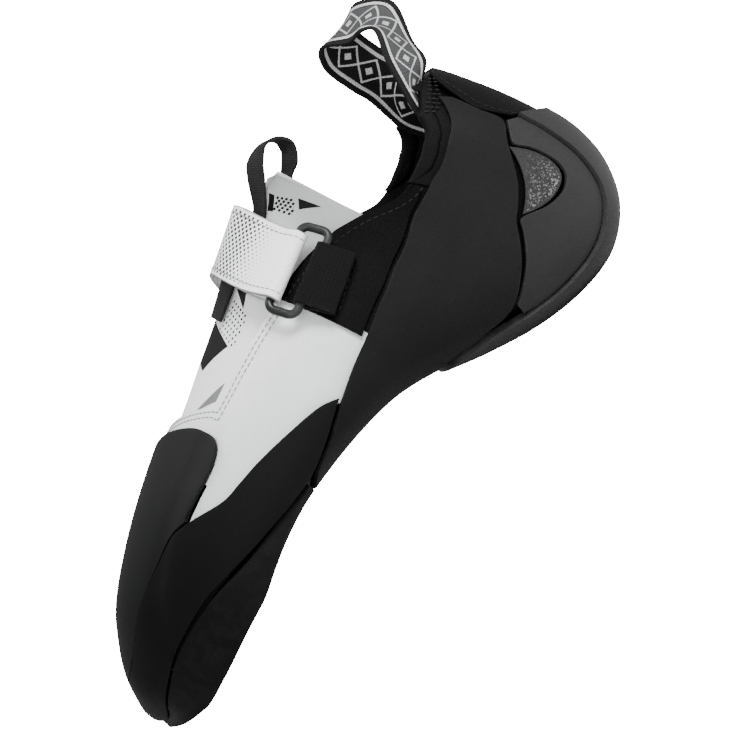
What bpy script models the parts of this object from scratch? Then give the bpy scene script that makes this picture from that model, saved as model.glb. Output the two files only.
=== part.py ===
"""Climbing shoe for the left foot: toe towards -X, heel towards +X, lateral side towards -Y, standing on Z = 0.

One function, the last, gives every point of the shoe from a station, counted along the foot from the nose of
the toe to the top of the heel, and a girth share, counted from the middle of the sole (0) round the lateral
side (negative) or the medial side (positive) to the ridge of the foot (1). Every piece lies on it at its own
depth.
"""
import math

import bmesh
import bpy
import numpy as np

MM = 0.001

# Driving sizes
LENGTH = 245.0 * MM  # last and rubber, nose to back of the heel
BALL_WIDTH = 86.0 * MM  # upper, across the ball of the foot
HEEL_WIDTH = 61.0 * MM  # upper, across the heel
INSTEP_HEIGHT = 105.0 * MM  # top of the instep above the floor
HEEL_HEIGHT = 88.0 * MM  # top of the heel above the floor
ARCH_RISE = 26.0 * MM  # downturn: underside of the upper above the floor at the arch
UPPER_WALL = 1.8 * MM
TONGUE_WALL = 1.5 * MM
TONGUE_RISE = 1.6 * MM  # how far the tongue swells up between the throat's edges
INSOLE_THICKNESS = 2.0 * MM
OUTSOLE_THICKNESS = 4.0 * MM
OUTSOLE_LIP = 1.9 * MM  # how far the outsole stands out from the upper
RUBBER = 1.5 * MM  # rand, toe patch, arch band and heel cup
WINDOW_RUBBER = 0.8 * MM
HEEL_RUBBER = 3.2 * MM  # heel strip
PANEL_WALL = 1.1 * MM  # collar panels, binding and heel tab
STRAP_WIDTH = 25.0 * MM
STRAP_THICKNESS = 1.4 * MM
WEBBING_THICKNESS = 1.1 * MM
RING_WIRE = 3.0 * MM
RING_LENGTH = 34.0 * MM
RING_DEPTH = 13.5 * MM
RING_CORNER = 0.55  # radius of the ring's corners as a share of half its depth
PULL_WIDTH = 6.5 * MM  # tongue pull loop
TAIL_WIDTH = 12.0 * MM
HEEL_LOOP_WIDTH = 18.0 * MM
GAP = 0.3 * MM  # between pieces that touch
SEAT = 0.6 * MM  # between curved pieces that lie on each other, whose facets differ
ROUND_SEAT = 0.9 * MM  # the same where the ground is round both ways
STRAP_LIFT = PANEL_WALL + 2 * ROUND_SEAT  # underside of strap and ring webbing above the last
EDGE_GAP = 0.006  # between the edges of two pieces, as a girth share
RING_AT = 24.8 * MM  # along the strap's line, from the sewn end of the ring webbing to the middle of the ring
RING_WEBBING_WIDTH = 22.0 * MM
RING_WEBBING_LENGTH = 10.0 * MM  # from the ring's bar to its sewn end
STRAP_FREE_LENGTH = 72.0 * MM  # from the ring's bar to the strap's free end
STRAP_SEWN_LENGTH = 86.0 * MM  # from the ring's bar to the strap's sewn end
STRAP_SETTLE = 18.0 * MM  # length over which a folded strap comes down on itself behind the ring
STRAP_BEND = 11.0 * MM  # how far from the ring's bar a strap follows the foot

# Fineness
GIRTH_STEPS = 64  # points of the last's half girth
STATION_STEPS = 20  # points of the last between two stations
GIRTH_IN_STATIONS = 9.0  # how many stations are about as long as half the girth
STRAP_KNOTS = 13  # points that the strap's line is drawn through

# The last. sole_x and ridge_x are shares of LENGTH from the toe, arch of ARCH_RISE and heel of HEEL_HEIGHT,
# added, ridge_z of INSTEP_HEIGHT. lateral, medial, sole_y and ridge_y are shares of the width, which goes from
# BALL_WIDTH to HEEL_WIDTH with heel_part. widest is a share of the section's height, flat and roof are the
# exponents of its lower and upper corners, and open is the width left at its top, as a share.
STATIONS = (
    # sole_x, arch, heel, ridge_x, ridge_z, lateral, medial, sole_y, ridge_y, heel_part, widest, flat, roof, open
    (0.007, 0.365, 0.000, 0.007, 0.090, -0.160, 0.160, 0.160, 0.160, 0.0, 0.40, 2.2, 2.10, 0.00),
    (0.012, 0.215, 0.000, 0.012, 0.133, -0.060, 0.265, 0.160, 0.165, 0.0, 0.40, 2.3, 2.10, 0.00),
    (0.033, 0.155, 0.000, 0.025, 0.210, 0.065, 0.340, 0.140, 0.170, 0.0, 0.40, 2.4, 2.10, 0.00),
    (0.065, 0.165, 0.000, 0.047, 0.286, 0.175, 0.395, 0.110, 0.175, 0.0, 0.39, 2.5, 2.10, 0.00),
    (0.114, 0.320, 0.000, 0.086, 0.386, 0.290, 0.435, 0.070, 0.165, 0.0, 0.38, 2.6, 2.10, 0.00),
    (0.184, 0.560, 0.000, 0.149, 0.486, 0.410, 0.470, 0.030, 0.150, 0.0, 0.36, 2.7, 2.00, 0.00),
    (0.257, 0.750, 0.000, 0.220, 0.576, 0.488, 0.482, 0.000, 0.128, 0.0, 0.35, 2.8, 2.00, 0.00),
    (0.335, 0.895, 0.000, 0.302, 0.662, 0.517, 0.482, -0.018, 0.110, 0.0, 0.34, 2.8, 1.90, 0.00),
    (0.412, 0.990, 0.000, 0.384, 0.729, 0.512, 0.453, -0.030, 0.093, 0.0, 0.33, 2.8, 1.80, 0.00),
    (0.486, 1.020, 0.000, 0.461, 0.805, 0.483, 0.395, -0.035, 0.081, 0.0, 0.32, 2.8, 1.75, 0.00),
    (0.555, 0.970, 0.000, 0.535, 0.890, 0.442, 0.360, -0.035, 0.058, 0.0, 0.31, 2.8, 1.70, 0.04),
    (0.620, 0.790, 0.000, 0.592, 0.943, 0.480, 0.405, -0.035, 0.050, 0.5, 0.30, 2.7, 1.70, 0.12),
    (0.690, 0.500, 0.000, 0.629, 0.976, 0.555, 0.500, -0.025, 0.050, 1.0, 0.29, 2.6, 1.70, 0.24),
    (0.767, 0.245, 0.000, 0.655, 0.995, 0.533, 0.508, -0.008, 0.033, 1.0, 0.28, 2.5, 1.80, 0.38),
    (0.841, 0.128, 0.000, 0.665, 1.000, 0.516, 0.508, 0.000, 0.015, 1.0, 0.29, 2.4, 1.80, 0.50),
    (0.906, 0.177, 0.000, 0.673, 1.000, 0.500, 0.495, 0.000, 0.000, 1.0, 0.33, 2.3, 1.90, 0.58),
    (0.957, 0.000, 0.142, 0.678, 1.000, 0.485, 0.480, 0.000, 0.000, 1.0, 0.37, 2.2, 1.90, 0.64),
    (0.985, 0.000, 0.284, 0.682, 1.000, 0.475, 0.470, 0.000, 0.000, 1.0, 0.40, 2.1, 2.00, 0.68),
    (0.991, 0.000, 0.437, 0.684, 1.000, 0.465, 0.460, 0.000, 0.000, 1.0, 0.42, 2.0, 2.00, 0.70),
    (0.980, 0.000, 0.591, 0.686, 1.000, 0.450, 0.450, 0.000, 0.000, 1.0, 0.44, 2.0, 2.00, 0.70),
    (0.960, 0.000, 0.761, 0.686, 1.000, 0.430, 0.435, 0.000, 0.000, 1.0, 0.46, 2.0, 2.00, 0.70),
    (0.932, 0.000, 0.943, 0.686, 1.000, 0.410, 0.415, 0.000, 0.000, 1.0, 0.48, 2.0, 2.00, 0.70),
    (0.919, 0.000, 1.011, 0.686, 1.000, 0.400, 0.405, 0.000, 0.000, 1.0, 0.50, 2.0, 2.00, 0.70),
)
COLUMNS = ("sole_x", "arch", "heel", "ridge_x", "ridge_z", "lateral", "medial", "sole_y", "ridge_y",
           "heel_part", "widest", "flat", "roof", "open")
TABLE = {name: np.array([row[i] for row in STATIONS]) for i, name in enumerate(COLUMNS)}
TOP = len(STATIONS) - 1  # station of the top of the heel
NOSE = min(TABLE["sole_x"]) * LENGTH - OUTSOLE_LIP
BACK = max(TABLE["sole_x"]) * LENGTH + SEAT + HEEL_RUBBER
TOE_X = -0.5 * (NOSE + BACK)

# Pattern lines on the last, from one end to the other, as (station, girth share) on the lateral side. The
# medial side mirrors them, apart from the throat, which starts nearer the toe there.
OUTSOLE_THIN = 5.6  # station from which the outsole thins out to the arch band
OUTSOLE_RIM = ((1.0, 0.0), (1.3, 0.20), (1.7, 0.33), (2.3, 0.41), (3.0, 0.44), (3.8, 0.445), (5.0, 0.42),
               (6.1, 0.375), (6.6, 0.355), (7.1, 0.335), (7.5, 0.32))
RAND_TOP = ((9.1, 0.385), (8.7, 0.42), (8.0, 0.455), (7.4, 0.48), (6.95, 0.495), (6.55, 0.515), (6.0, 0.585),
            (5.5, 0.64), (4.5, 0.67), (3.5, 0.69), (2.6, 0.74), (2.0, 0.84), (1.8, 1.0))
RAND_LOW = ((7.65, 0.335), (7.1, 0.35), (6.6, 0.37), (6.1, 0.39), (5.5, 0.415), (5.0, 0.435), (4.4, 0.45),
            (3.8, 0.46), (3.0, 0.455), (2.3, 0.425), (1.7, 0.347), (1.3, 0.22), (0.95, 0.0))
PATCH_REAR = ((6.05, 0.60), (6.75, 0.60), (7.05, 0.607), (7.25, 0.625), (7.35, 0.66), (7.35, 0.72),
              (7.25, 0.79), (7.05, 0.90), (6.85, 1.0))
PATCH_REAR_MEDIAL = ((6.05, 0.60), (6.2, 0.62), (6.35, 0.66), (6.45, 0.72), (6.5, 0.79), (6.6, 0.90), (6.85, 1.0))
PATCH_NOSE = ((6.02, 0.595), (5.5, 0.65), (4.5, 0.68), (3.5, 0.70), (2.65, 0.755), (2.1, 0.85), (1.9, 1.0))
BAND_FRONT = ((20.4, 0.36), (19.2, 0.45), (18.0, 0.53), (16.9, 0.58), (15.6, 0.625), (14.0, 0.625), (12.35, 0.55),
              (11.45, 0.49), (10.4, 0.425), (9.35, 0.385), (8.9, 0.37), (8.35, 0.345), (7.85, 0.32), (7.65, 0.25),
              (7.58, 0.0))
BAND_REAR = ((20.2, 0.33), (19.4, 0.325), (18.8, 0.31), (17.95, 0.362), (17.3, 0.388), (16.5, 0.40), (15.4, 0.402),
             (14.75, 0.388), (13.65, 0.315), (12.8, 0.25), (12.1, 0.225), (11.5, 0.20), (11.15, 0.15), (11.1, 0.0))
STRIP_EDGE = ((11.15, 0.0), (11.25, 0.14), (11.7, 0.185), (12.3, 0.205), (13.0, 0.20), (13.6, 0.19), (14.2, 0.18),
              (15.0, 0.165), (15.65, 0.155), (16.25, 0.155), (16.9, 0.175), (17.6, 0.205), (18.4, 0.235),
              (18.85, 0.24))
WINDOW_CURVE = ((17.55, 0.375), (17.4, 0.33), (17.2, 0.30), (16.9, 0.275), (16.55, 0.27), (16.15, 0.29),
                (15.65, 0.33), (15.2, 0.385))
CUP_OUTER = ((18.75, 0.25), (18.4, 0.242), (17.6, 0.212), (16.9, 0.182), (16.25, 0.162), (15.65, 0.162),
             (15.0, 0.172), (14.2, 0.187), (13.4, 0.20), (12.9, 0.212))
CUP_INNER = ((18.7, 0.30), (18.2, 0.335), (17.65, 0.36), (17.45, 0.32), (17.2, 0.29), (16.9, 0.265),
             (16.55, 0.26), (16.1, 0.28), (15.6, 0.325), (15.1, 0.385), (14.7, 0.372), (13.6, 0.30),
             (12.95, 0.25))
TAB_SIDE = ((18.95, 0.25), (19.4, 0.305), (19.9, 0.31), (20.4, 0.285), (21.0, 0.24), (21.5, 0.195), (21.9, 0.14))
COLLAR = ((7.8, 0.72), (8.6, 0.72), (9.6, 0.712), (11.0, 0.73), (12.25, 0.74), (13.6, 0.722), (14.7, 0.69),
          (15.55, 0.675), (16.9, 0.63), (18.0, 0.585), (20.0, 0.475), (20.6, 0.39), (21.2, 0.29), (22.0, 0.17))
THROAT_CORNER = 7.8  # station of the lateral corner of the throat's bottom
THROAT_SLANT = 1.3  # stations that the medial corner lies nearer the toe
SLANT_REACH = 3.6  # stations over which the slant dies away
SLANT_SIDE = 0.35  # girth share of the medial side from which it grows up to the throat's edge
PANEL_BAND = ((10.35, 0.435), (11.4, 0.50), (12.3, 0.56), (13.1, 0.60), (14.0, 0.635), (14.8, 0.643),
              (15.5, 0.645))
PANEL_COLLAR = ((9.95, 0.70), (11.0, 0.717), (12.25, 0.728), (13.0, 0.722), (13.6, 0.71), (14.7, 0.68),
                (15.5, 0.662))
BINDING_START = 15.7
BINDING_END = 21.3
BINDING_WIDTH = 0.03  # girth share
HOLE_START, HOLE_END, HOLE_GIRTH = 2.6, 6.8, 0.20  # opening of the upper that the outsole closes
HOLE_SHARE = 0.35  # the most that it, and the upper's rows in line with it, take of the side below the collar
TONGUE_START, TONGUE_END = 6.0, 13.3
TONGUE_LAP = 0.04  # girth share that the tongue goes on under the throat's edge
INSOLE_START, INSOLE_END = 1.6, 15.0
NOSE_END, NOSE_BLEND = 2.6, 1.6  # up to this station pieces go straight round the nose, and how far that dies away
INSOLE_GIRTH = ((1.6, 0.22), (2.3, 0.36), (3.8, 0.38), (6.0, 0.34), (9.0, 0.24), (12.0, 0.17), (15.0, 0.12))
STRAP_LINE = ((11.25, 0.50), (10.93, 0.60), (10.6, 0.70), (10.45, 0.80), (10.42, 0.90), (10.42, 1.0), (10.3, 1.15),
              (10.1, 1.3), (9.9, 1.5))  # middle of ring webbing, ring and strap, over the ridge to the medial side
TAIL_LINE = ((9.95, 0.952), (9.05, 0.95))

# The tongue's pull loop and the heel's: x as share of LENGTH from the toe, y of HEEL_WIDTH, z of INSTEP_HEIGHT
# or HEEL_HEIGHT, then the direction across the webbing
PULL_LOOP = (
    # x, y, z, across x, across y, across z
    (0.641, -0.100, 1.020, -0.50, 0.63, 0.60),
    (0.657, -0.100, 1.059, -0.50, 0.70, 0.50),
    (0.681, -0.090, 1.080, -0.15, 0.98, 0.15),
    (0.700, -0.080, 1.062, -0.15, 0.98, 0.00),
    (0.704, -0.080, 1.020, -0.65, 0.75, 0.10),
    (0.692, -0.090, 0.983, -0.70, 0.65, 0.25),
    (0.672, -0.070, 0.952, -0.40, 0.85, 0.20),
)
PULL_FRONT = ((11.15, -0.965), (11.5, -0.965))  # where it is sewn on the tongue, from its end up
PULL_BACK = ((12.6, -0.955), (12.1, -0.96))  # where it is sewn behind the tongue, from the edge down
HEEL_LOOP = (
    # x, y, z, across x, across y, across z
    (0.894, -0.300, 1.105, 0.70, 0.50, 0.50),
    (0.914, -0.165, 1.210, 0.45, 0.85, 0.25),
    (0.921, -0.035, 1.305, 0.50, 0.78, 0.38),
    (0.899, 0.095, 1.352, 0.75, 0.50, 0.40),
    (0.872, 0.200, 1.366, 0.96, 0.20, 0.10),
    (0.866, 0.265, 1.300, 1.00, 0.00, 0.00),
    (0.872, 0.300, 1.190, 0.97, -0.10, 0.20),
    (0.880, 0.320, 1.090, 0.85, -0.25, 0.45),
)
HEEL_LOOP_SEWN = (
    # front station, front girth, back station, back girth, inside the collar from its end up to the rim
    (19.2, 0.45, 20.7, 0.17),
    (20.0, 0.475, 22.0, 0.17),
)

FINISHES = {
    # name: (colour, roughness)
    "white_leather": ((0.80, 0.82, 0.81), 0.50),
    "knit": ((0.72, 0.73, 0.73), 0.85),
    "board": ((0.05, 0.05, 0.05), 0.85),
    "rubber": ((0.028, 0.028, 0.029), 0.62),
    "rough_rubber": ((0.14, 0.14, 0.145), 0.80),
    "smooth_black": ((0.010, 0.010, 0.011), 0.45),
    "webbing": ((0.018, 0.018, 0.020), 0.70),
    "hard_plastic": ((0.030, 0.034, 0.033), 0.35),
}


# The last


def along(values, place):
    """Smooth curve through evenly spaced values, read at places counted from 0."""
    place = np.clip(place, 0.0, len(values) - 1.0)
    first = np.minimum(place.astype(int), len(values) - 2)
    part = (place - first).reshape(place.shape + (1,) * (np.ndim(values) - 1))
    slope = np.gradient(values, axis=0)
    return (values[first] * (1 + 2 * part) * (1 - part) ** 2 + values[first + 1] * (3 - 2 * part) * part ** 2
            + slope[first] * part * (1 - part) ** 2 - slope[first + 1] * (1 - part) * part ** 2)


def half_section(row, side):
    """Points of one side of a section, from the middle of the sole to the ridge, evenly along the girth."""
    width = BALL_WIDTH + row["heel_part"] * (HEEL_WIDTH - BALL_WIDTH)
    turn = np.linspace(0, math.pi / 2, 60)
    low, high = np.sin(turn) ** (2 / row["flat"]), np.sin(turn[1:]) ** (2 / row["roof"])
    rise = row["widest"] * (1 - np.cos(turn) ** (2 / row["flat"]))
    rise = np.concatenate([rise, row["widest"] + (1 - row["widest"]) * high])
    closing = 1 - max(row["open"], 0.0) ** row["roof"]
    breadth = np.concatenate([low, (1 - closing * high ** row["roof"]) ** (1 / row["roof"])])
    lean = row["ridge_y"] - row["sole_y"]
    edge = side * (row["medial"] if side > 0 else row["lateral"]) - row["sole_y"] - lean * row["widest"]
    x = TOE_X + LENGTH * (row["sole_x"] + rise * (row["ridge_x"] - row["sole_x"]))
    y = width * (row["sole_y"] + lean * rise + edge * breadth)
    sole_z = row["arch"] * ARCH_RISE + row["heel"] * HEEL_HEIGHT
    z = sole_z + rise * (row["ridge_z"] * INSTEP_HEIGHT - sole_z)
    points = np.stack([x, y, z], axis=1)
    walked = np.concatenate([[0], np.cumsum(np.linalg.norm(np.diff(points, axis=0), axis=1))])
    even = np.linspace(0, max(walked[-1], 1e-9), GIRTH_STEPS + 1)
    return np.stack([np.interp(even, walked, points[:, k]) for k in range(3)], axis=1)


def measure_last():
    """Surface and outward normals of the last on a fine grid of stations and girth shares from -1 to 1."""
    stations = np.linspace(0, TOP, TOP * STATION_STEPS + 1)
    columns = {name: along(TABLE[name], stations) for name in COLUMNS}
    surface = []
    for i in range(len(stations)):
        row = {name: columns[name][i] for name in COLUMNS}
        lateral, medial = half_section(row, -1), half_section(row, 1)
        surface.append(np.concatenate([lateral[:0:-1], medial]))
    surface = np.array(surface)
    surface[0] = surface[0].mean(axis=0)  # the nose is one point
    surface[..., 1] -= 0.5 * (surface[..., 1].min() + surface[..., 1].max())
    wrapped = np.concatenate([surface[:, -2:-1], surface, surface[:, 1:2]], axis=1)
    across = (wrapped[:, 2:] - wrapped[:, :-2])
    normals = np.cross(across, np.gradient(surface, axis=0))
    normals[0] = normals[1].mean(axis=0)
    normals /= np.maximum(np.linalg.norm(normals, axis=2, keepdims=True), 1e-12)
    return surface, normals


SURFACE, NORMALS = measure_last()


def read(field, places):
    """Value of a field of the last at places given as (station, girth share)."""
    station = np.clip(places[..., 0], 0, TOP) * STATION_STEPS
    girth = (np.mod(places[..., 1] + 1, 2)) * GIRTH_STEPS
    i = np.minimum(station.astype(int), field.shape[0] - 2)
    j = np.minimum(girth.astype(int), field.shape[1] - 2)
    a, b = (station - i)[..., None], (girth - j)[..., None]
    return ((field[i, j] * (1 - a) + field[i + 1, j] * a) * (1 - b)
            + (field[i, j + 1] * (1 - a) + field[i + 1, j + 1] * a) * b)


def on_last(places, depth):
    """Points that lie depth outside the last, or inside it where depth is negative."""
    places = np.asarray(places, float)
    normal = read(NORMALS, places)
    normal /= np.linalg.norm(normal, axis=-1, keepdims=True)
    return read(SURFACE, places) + normal * np.asarray(depth)[..., None]


# Pattern lines


def line(points, count):
    """A smooth line through (station, girth share) places, read at evenly spaced points."""
    points = np.array(points, float)
    fine = along(points, np.linspace(0, len(points) - 1, 400))
    step = np.hypot(np.diff(fine[:, 0]), np.diff(fine[:, 1]) * GIRTH_IN_STATIONS)
    walked = np.concatenate([[0], np.cumsum(step)])
    even = np.linspace(0, walked[-1], count)
    return np.stack([np.interp(even, walked, fine[:, k]) for k in range(2)], axis=1)


def on_side(places, side):
    """The lateral or the medial copy of a pattern line."""
    return places * np.array([1, side])


def girth_of(points, stations):
    """Girth share of a pattern line at stations."""
    points = np.array(points)
    fine = along(points, np.linspace(0, len(points) - 1, 400))
    return np.interp(stations, fine[:, 0], fine[:, 1])


def between(first, second, count):
    """Grid of places ruled between two lines."""
    part = np.linspace(0, 1, count)[None, :, None]
    return first[:, None] * (1 - part) + second[:, None] * part


def round_nose(first, second, count):
    """Grid ruled between two lines that pass the nose on both sides, as seen from in front of it."""
    straight = between(first, second, count)

    def flat(places):
        angle = places[..., 1] * math.pi
        return np.stack([places[..., 0] * np.sin(angle), -places[..., 0] * np.cos(angle)], axis=-1)

    seen = between(flat(first), flat(second), count)
    polar = np.stack([np.hypot(seen[..., 0], seen[..., 1]), np.arctan2(seen[..., 0], -seen[..., 1]) / math.pi], -1)
    share = np.clip((np.minimum(first[:, 0], second[:, 0]) - NOSE_END) / NOSE_BLEND, 0, 1)[:, None, None]
    return straight * share + polar * (1 - share)


# Solids


def material(finish):
    """The Principled material of a finish, made once."""
    found = bpy.data.materials.get(finish)
    if found:
        return found
    colour, roughness = FINISHES[finish]
    made = bpy.data.materials.new(finish)
    made.use_nodes = True
    shader = made.node_tree.nodes["Principled BSDF"]
    shader.inputs["Base Color"].default_value = (*colour, 1.0)
    shader.inputs["Roughness"].default_value = roughness
    shader.inputs["Metallic"].default_value = 0.0
    return made


def add_object(name, finish, mesh):
    """Closes up the bmesh and puts it in the scene as an object."""
    bmesh.ops.remove_doubles(mesh, verts=mesh.verts, dist=1e-6)
    bmesh.ops.triangulate(mesh, faces=mesh.faces)
    bmesh.ops.recalc_face_normals(mesh, faces=mesh.faces)
    data = bpy.data.meshes.new(name)
    mesh.to_mesh(data)
    mesh.free()
    data.shade_smooth()
    data.set_sharp_from_angle(angle=math.radians(40))
    data.materials.append(material(finish))
    bpy.context.scene.collection.objects.link(bpy.data.objects.new(name, data))


def layer(name, finish, outer, inner, present=None, ring=False):
    """Closed solid between two grids of points, with walls round its edges and round cells that are left out."""
    rows, columns = outer.shape[:2]
    across = columns if ring else columns - 1
    if present is None:
        present = np.ones((rows - 1, across), bool)
    mesh = bmesh.new()
    corners = {}

    def corner(place, sheet):
        key = (place[0], place[1] % columns, sheet)
        if key not in corners:
            corners[key] = mesh.verts.new((outer, inner)[sheet][key[0], key[1]])
        return corners[key]

    def is_there(i, j):
        if ring:
            j %= columns
        return 0 <= i < rows - 1 and 0 <= j < across and present[i, j]

    for i in range(rows - 1):
        for j in range(across):
            if not present[i, j]:
                continue
            cell = ((i, j), (i + 1, j), (i + 1, j + 1), (i, j + 1))
            mesh.faces.new([corner(place, 0) for place in cell])
            mesh.faces.new([corner(place, 1) for place in reversed(cell)])
            neighbours = ((i, j - 1), (i + 1, j), (i, j + 1), (i - 1, j))
            for k, neighbour in enumerate(neighbours):
                wall = (cell[k], cell[(k + 1) % 4])
                if not is_there(*neighbour) and (corner(wall[0], 0).co - corner(wall[1], 0).co).length > 1e-6:
                    a, b = wall
                    mesh.faces.new([corner(a, 1), corner(b, 1), corner(b, 0), corner(a, 0)])
    add_object(name, finish, mesh)


def overlay(name, finish, places, thickness, depth=SEAT):
    """A sheet of even thickness on the last."""
    layer(name, finish, on_last(places, depth + thickness), on_last(places, depth))


def unit(vectors):
    """Vectors of length one."""
    return vectors / np.linalg.norm(vectors, axis=-1, keepdims=True)


def directions(points):
    """Direction of a row of points at each of them, halfway between the steps before and after it."""
    steps = unit(np.diff(points, axis=0))
    return unit(np.concatenate([steps[:1], steps[:-1] + steps[1:], steps[-1:]]))


def cloth(name, finish, middle, thickness):
    """Strap or webbing of even thickness round a grid of points, with rows along it and columns across."""
    normal = unit(np.cross(directions(middle), np.gradient(middle, axis=1)))
    layer(name, finish, middle + normal * thickness / 2, middle - normal * thickness / 2)


def closed_tube(name, finish, centres, outward, up, radius, sides):
    """A round wire along a closed row of centres, each with its outward direction."""
    mesh = bmesh.new()
    turns = [2 * math.pi * k / sides for k in range(sides)]
    rings = []
    for centre, out in zip(centres, outward):
        rings.append([mesh.verts.new(centre + radius * (out * math.cos(a) + up * math.sin(a))) for a in turns])
    for first, second in zip(rings, rings[1:] + rings[:1]):
        for k in range(sides):
            n = (k + 1) % sides
            mesh.faces.new([first[k], first[n], second[n], second[k]])
    add_object(name, finish, mesh)


# Pieces on the foot

TONGUE_FACE = TONGUE_RISE - UPPER_WALL - SEAT  # depth of the tongue's outer face in the middle of the throat


def eased(share):
    """A share from 0 to 1 with a soft start and end."""
    return share * share * (3 - 2 * share)


def upper_stations():
    """Stations of the upper's rows."""
    closed = [0.0, 0.3, 0.7, 1.1, 1.6, 2.1, HOLE_START, 3.3, 4.0, 4.7, 5.4, 6.1, HOLE_END]
    return np.array(closed + list(np.linspace(THROAT_CORNER, TOP, 21)))


def slant(stations, girth):
    """Moves places near the throat's bottom towards the toe, more so on the medial side."""
    reach = np.clip(1 - np.abs(stations - THROAT_CORNER) / SLANT_REACH, 0, 1)
    edge = COLLAR[0][1]
    lateral = np.clip((-girth - edge) / (1 - edge), 0, 1) / 2
    medial = np.clip((girth - SLANT_SIDE) / (edge - SLANT_SIDE), 0, 1)
    medial = np.where(girth > edge, 1 - (girth - edge) / (1 - edge) / 2, medial)
    return stations - THROAT_SLANT * reach * np.where(girth < 0, lateral, medial)


def opening_edge(stations):
    """Girth share of the edge of throat and collar."""
    return np.interp(stations, *np.array(COLLAR).T)


def make_upper():
    stations = upper_stations()
    edge = opening_edge(stations)
    hole = np.minimum(HOLE_GIRTH, HOLE_SHARE * edge)
    side = np.array([hole * k / 3 for k in range(4)] + [hole + (edge - hole) * k / 9 for k in range(1, 10)]
                    + [edge + (1 - edge) * k / 3 for k in range(1, 4)]).T
    ridge = side.shape[1] - 1
    girth = np.concatenate([-side[:, :0:-1], side[:, :ridge]], axis=1)
    rows = np.repeat(stations[:, None], girth.shape[1], axis=1)
    places = np.stack([slant(rows, girth), girth], axis=-1)
    present = np.ones((len(stations) - 1, girth.shape[1]), bool)
    is_open = stations[:-1] >= THROAT_CORNER
    present[is_open, :3] = False
    present[is_open, -3:] = False
    has_hole = (stations[:-1] >= HOLE_START) & (stations[:-1] < HOLE_END)
    present[np.ix_(has_hole, range(ridge - 3, ridge + 3))] = False
    layer("upper", "white_leather", on_last(places, 0 * rows), on_last(places, 0 * rows - UPPER_WALL), present, True)


def make_tongue():
    stations = np.linspace(TONGUE_START, TONGUE_END, 13)
    lap = opening_edge(stations) - TONGUE_LAP
    girth = -lap[:, None] - (2 - 2 * lap)[:, None] * np.linspace(0, 1, 13)[None, :]
    signed = np.where(girth < -1, girth + 2, girth)
    rows = slant(np.repeat(stations[:, None], 13, axis=1), signed)
    places = np.stack([rows, girth], axis=-1)
    edge = opening_edge(stations)[:, None]
    open_part = np.clip((np.abs(signed) - edge) / (1 - edge), 0, 1)
    below_throat = np.clip((stations - THROAT_CORNER)[:, None], 0, 1)
    depth = TONGUE_FACE - TONGUE_RISE * (1 - eased(open_part) * eased(below_throat))
    layer("tongue", "knit", on_last(places, depth), on_last(places, depth - TONGUE_WALL))


def make_insole():
    stations = np.linspace(INSOLE_START, INSOLE_END, 18)
    girth = girth_of(INSOLE_GIRTH, stations)[:, None] * np.linspace(-1, 1, 11)[None, :]
    places = np.stack([np.repeat(stations[:, None], 11, axis=1), girth], axis=-1)
    under = -UPPER_WALL - ROUND_SEAT
    top = under - INSOLE_THICKNESS
    layer("insole", "board", on_last(places, 0 * girth + under), on_last(places, 0 * girth + top))


def sole_level(x):
    """Height of the outsole's underside at x: the last's underside less the rubber, flat on the floor."""
    middle = SURFACE[: 9 * STATION_STEPS, GIRTH_STEPS]
    slope = np.gradient(middle[:, 2]) / np.maximum(np.gradient(middle[:, 0]), 1e-6)
    level = middle[:, 2] - (OUTSOLE_THICKNESS + GAP) * np.sqrt(1 + slope ** 2)
    start = 2 * STATION_STEPS
    return np.maximum(np.interp(x, middle[start:, 0], level[start:]), 0.0)


def make_outsole():
    start, end = OUTSOLE_RIM[0][0], OUTSOLE_RIM[-1][0]
    stations = np.concatenate([[start, start + 0.1, start + 0.3, start + 0.6], np.linspace(start + 1.0, end, 15)])
    rim = girth_of(OUTSOLE_RIM, stations)
    share = np.array([-1, -0.999, -0.92, -0.8, -0.6, -0.3, 0, 0.3, 0.6, 0.8, 0.92, 0.999, 1])
    girth = rim[:, None] * share[None, :]
    places = np.stack([np.repeat(stations[:, None], len(share), axis=1), girth], axis=-1)
    thin = eased(np.clip((stations - OUTSOLE_THIN) / (end - OUTSOLE_THIN), 0, 1))[:, None]
    depth = np.full(girth.shape, ROUND_SEAT)
    depth[:, [0, -1]] = OUTSOLE_LIP + (ROUND_SEAT - OUTSOLE_LIP) * thin
    depth[0] = OUTSOLE_LIP
    top = on_last(places, depth)
    inset = np.array([0, 0.015, 0.06, 0.13, 0.23, 0.36, 0.5, 0.64, 0.77, 0.87, 0.94, 0.985, 1])[None, :, None]
    bottom = top[:, :1] * (1 - inset) + top[:, -1:] * inset
    bottom[..., 2] = sole_level(bottom[..., 0])
    sheet = on_last(places, ROUND_SEAT + RUBBER + 0 * girth)
    layer("outsole", "rubber", top, bottom + (sheet - bottom) * thin[..., None])


def make_forefoot_rubber():
    low, top = line(RAND_LOW, 17), line(RAND_TOP, 17)
    low = np.concatenate([on_side(low, -1), on_side(low[-2::-1], 1)])
    top = np.concatenate([on_side(top, -1), on_side(top[-2::-1], 1)])
    overlay("rand", "rubber", round_nose(low, top, 5), RUBBER)
    nose, rear, medial = line(PATCH_NOSE, 9), line(PATCH_REAR, 9), line(PATCH_REAR_MEDIAL, 9)
    past_ridge = np.array([0, -2])
    nose = np.concatenate([on_side(nose, -1), on_side(nose[-2::-1], 1) + past_ridge])
    rear = np.concatenate([on_side(rear, -1), on_side(medial[-2::-1], 1) + past_ridge])
    overlay("toe_patch", "rubber", between(nose, rear, 7), RUBBER)


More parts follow.
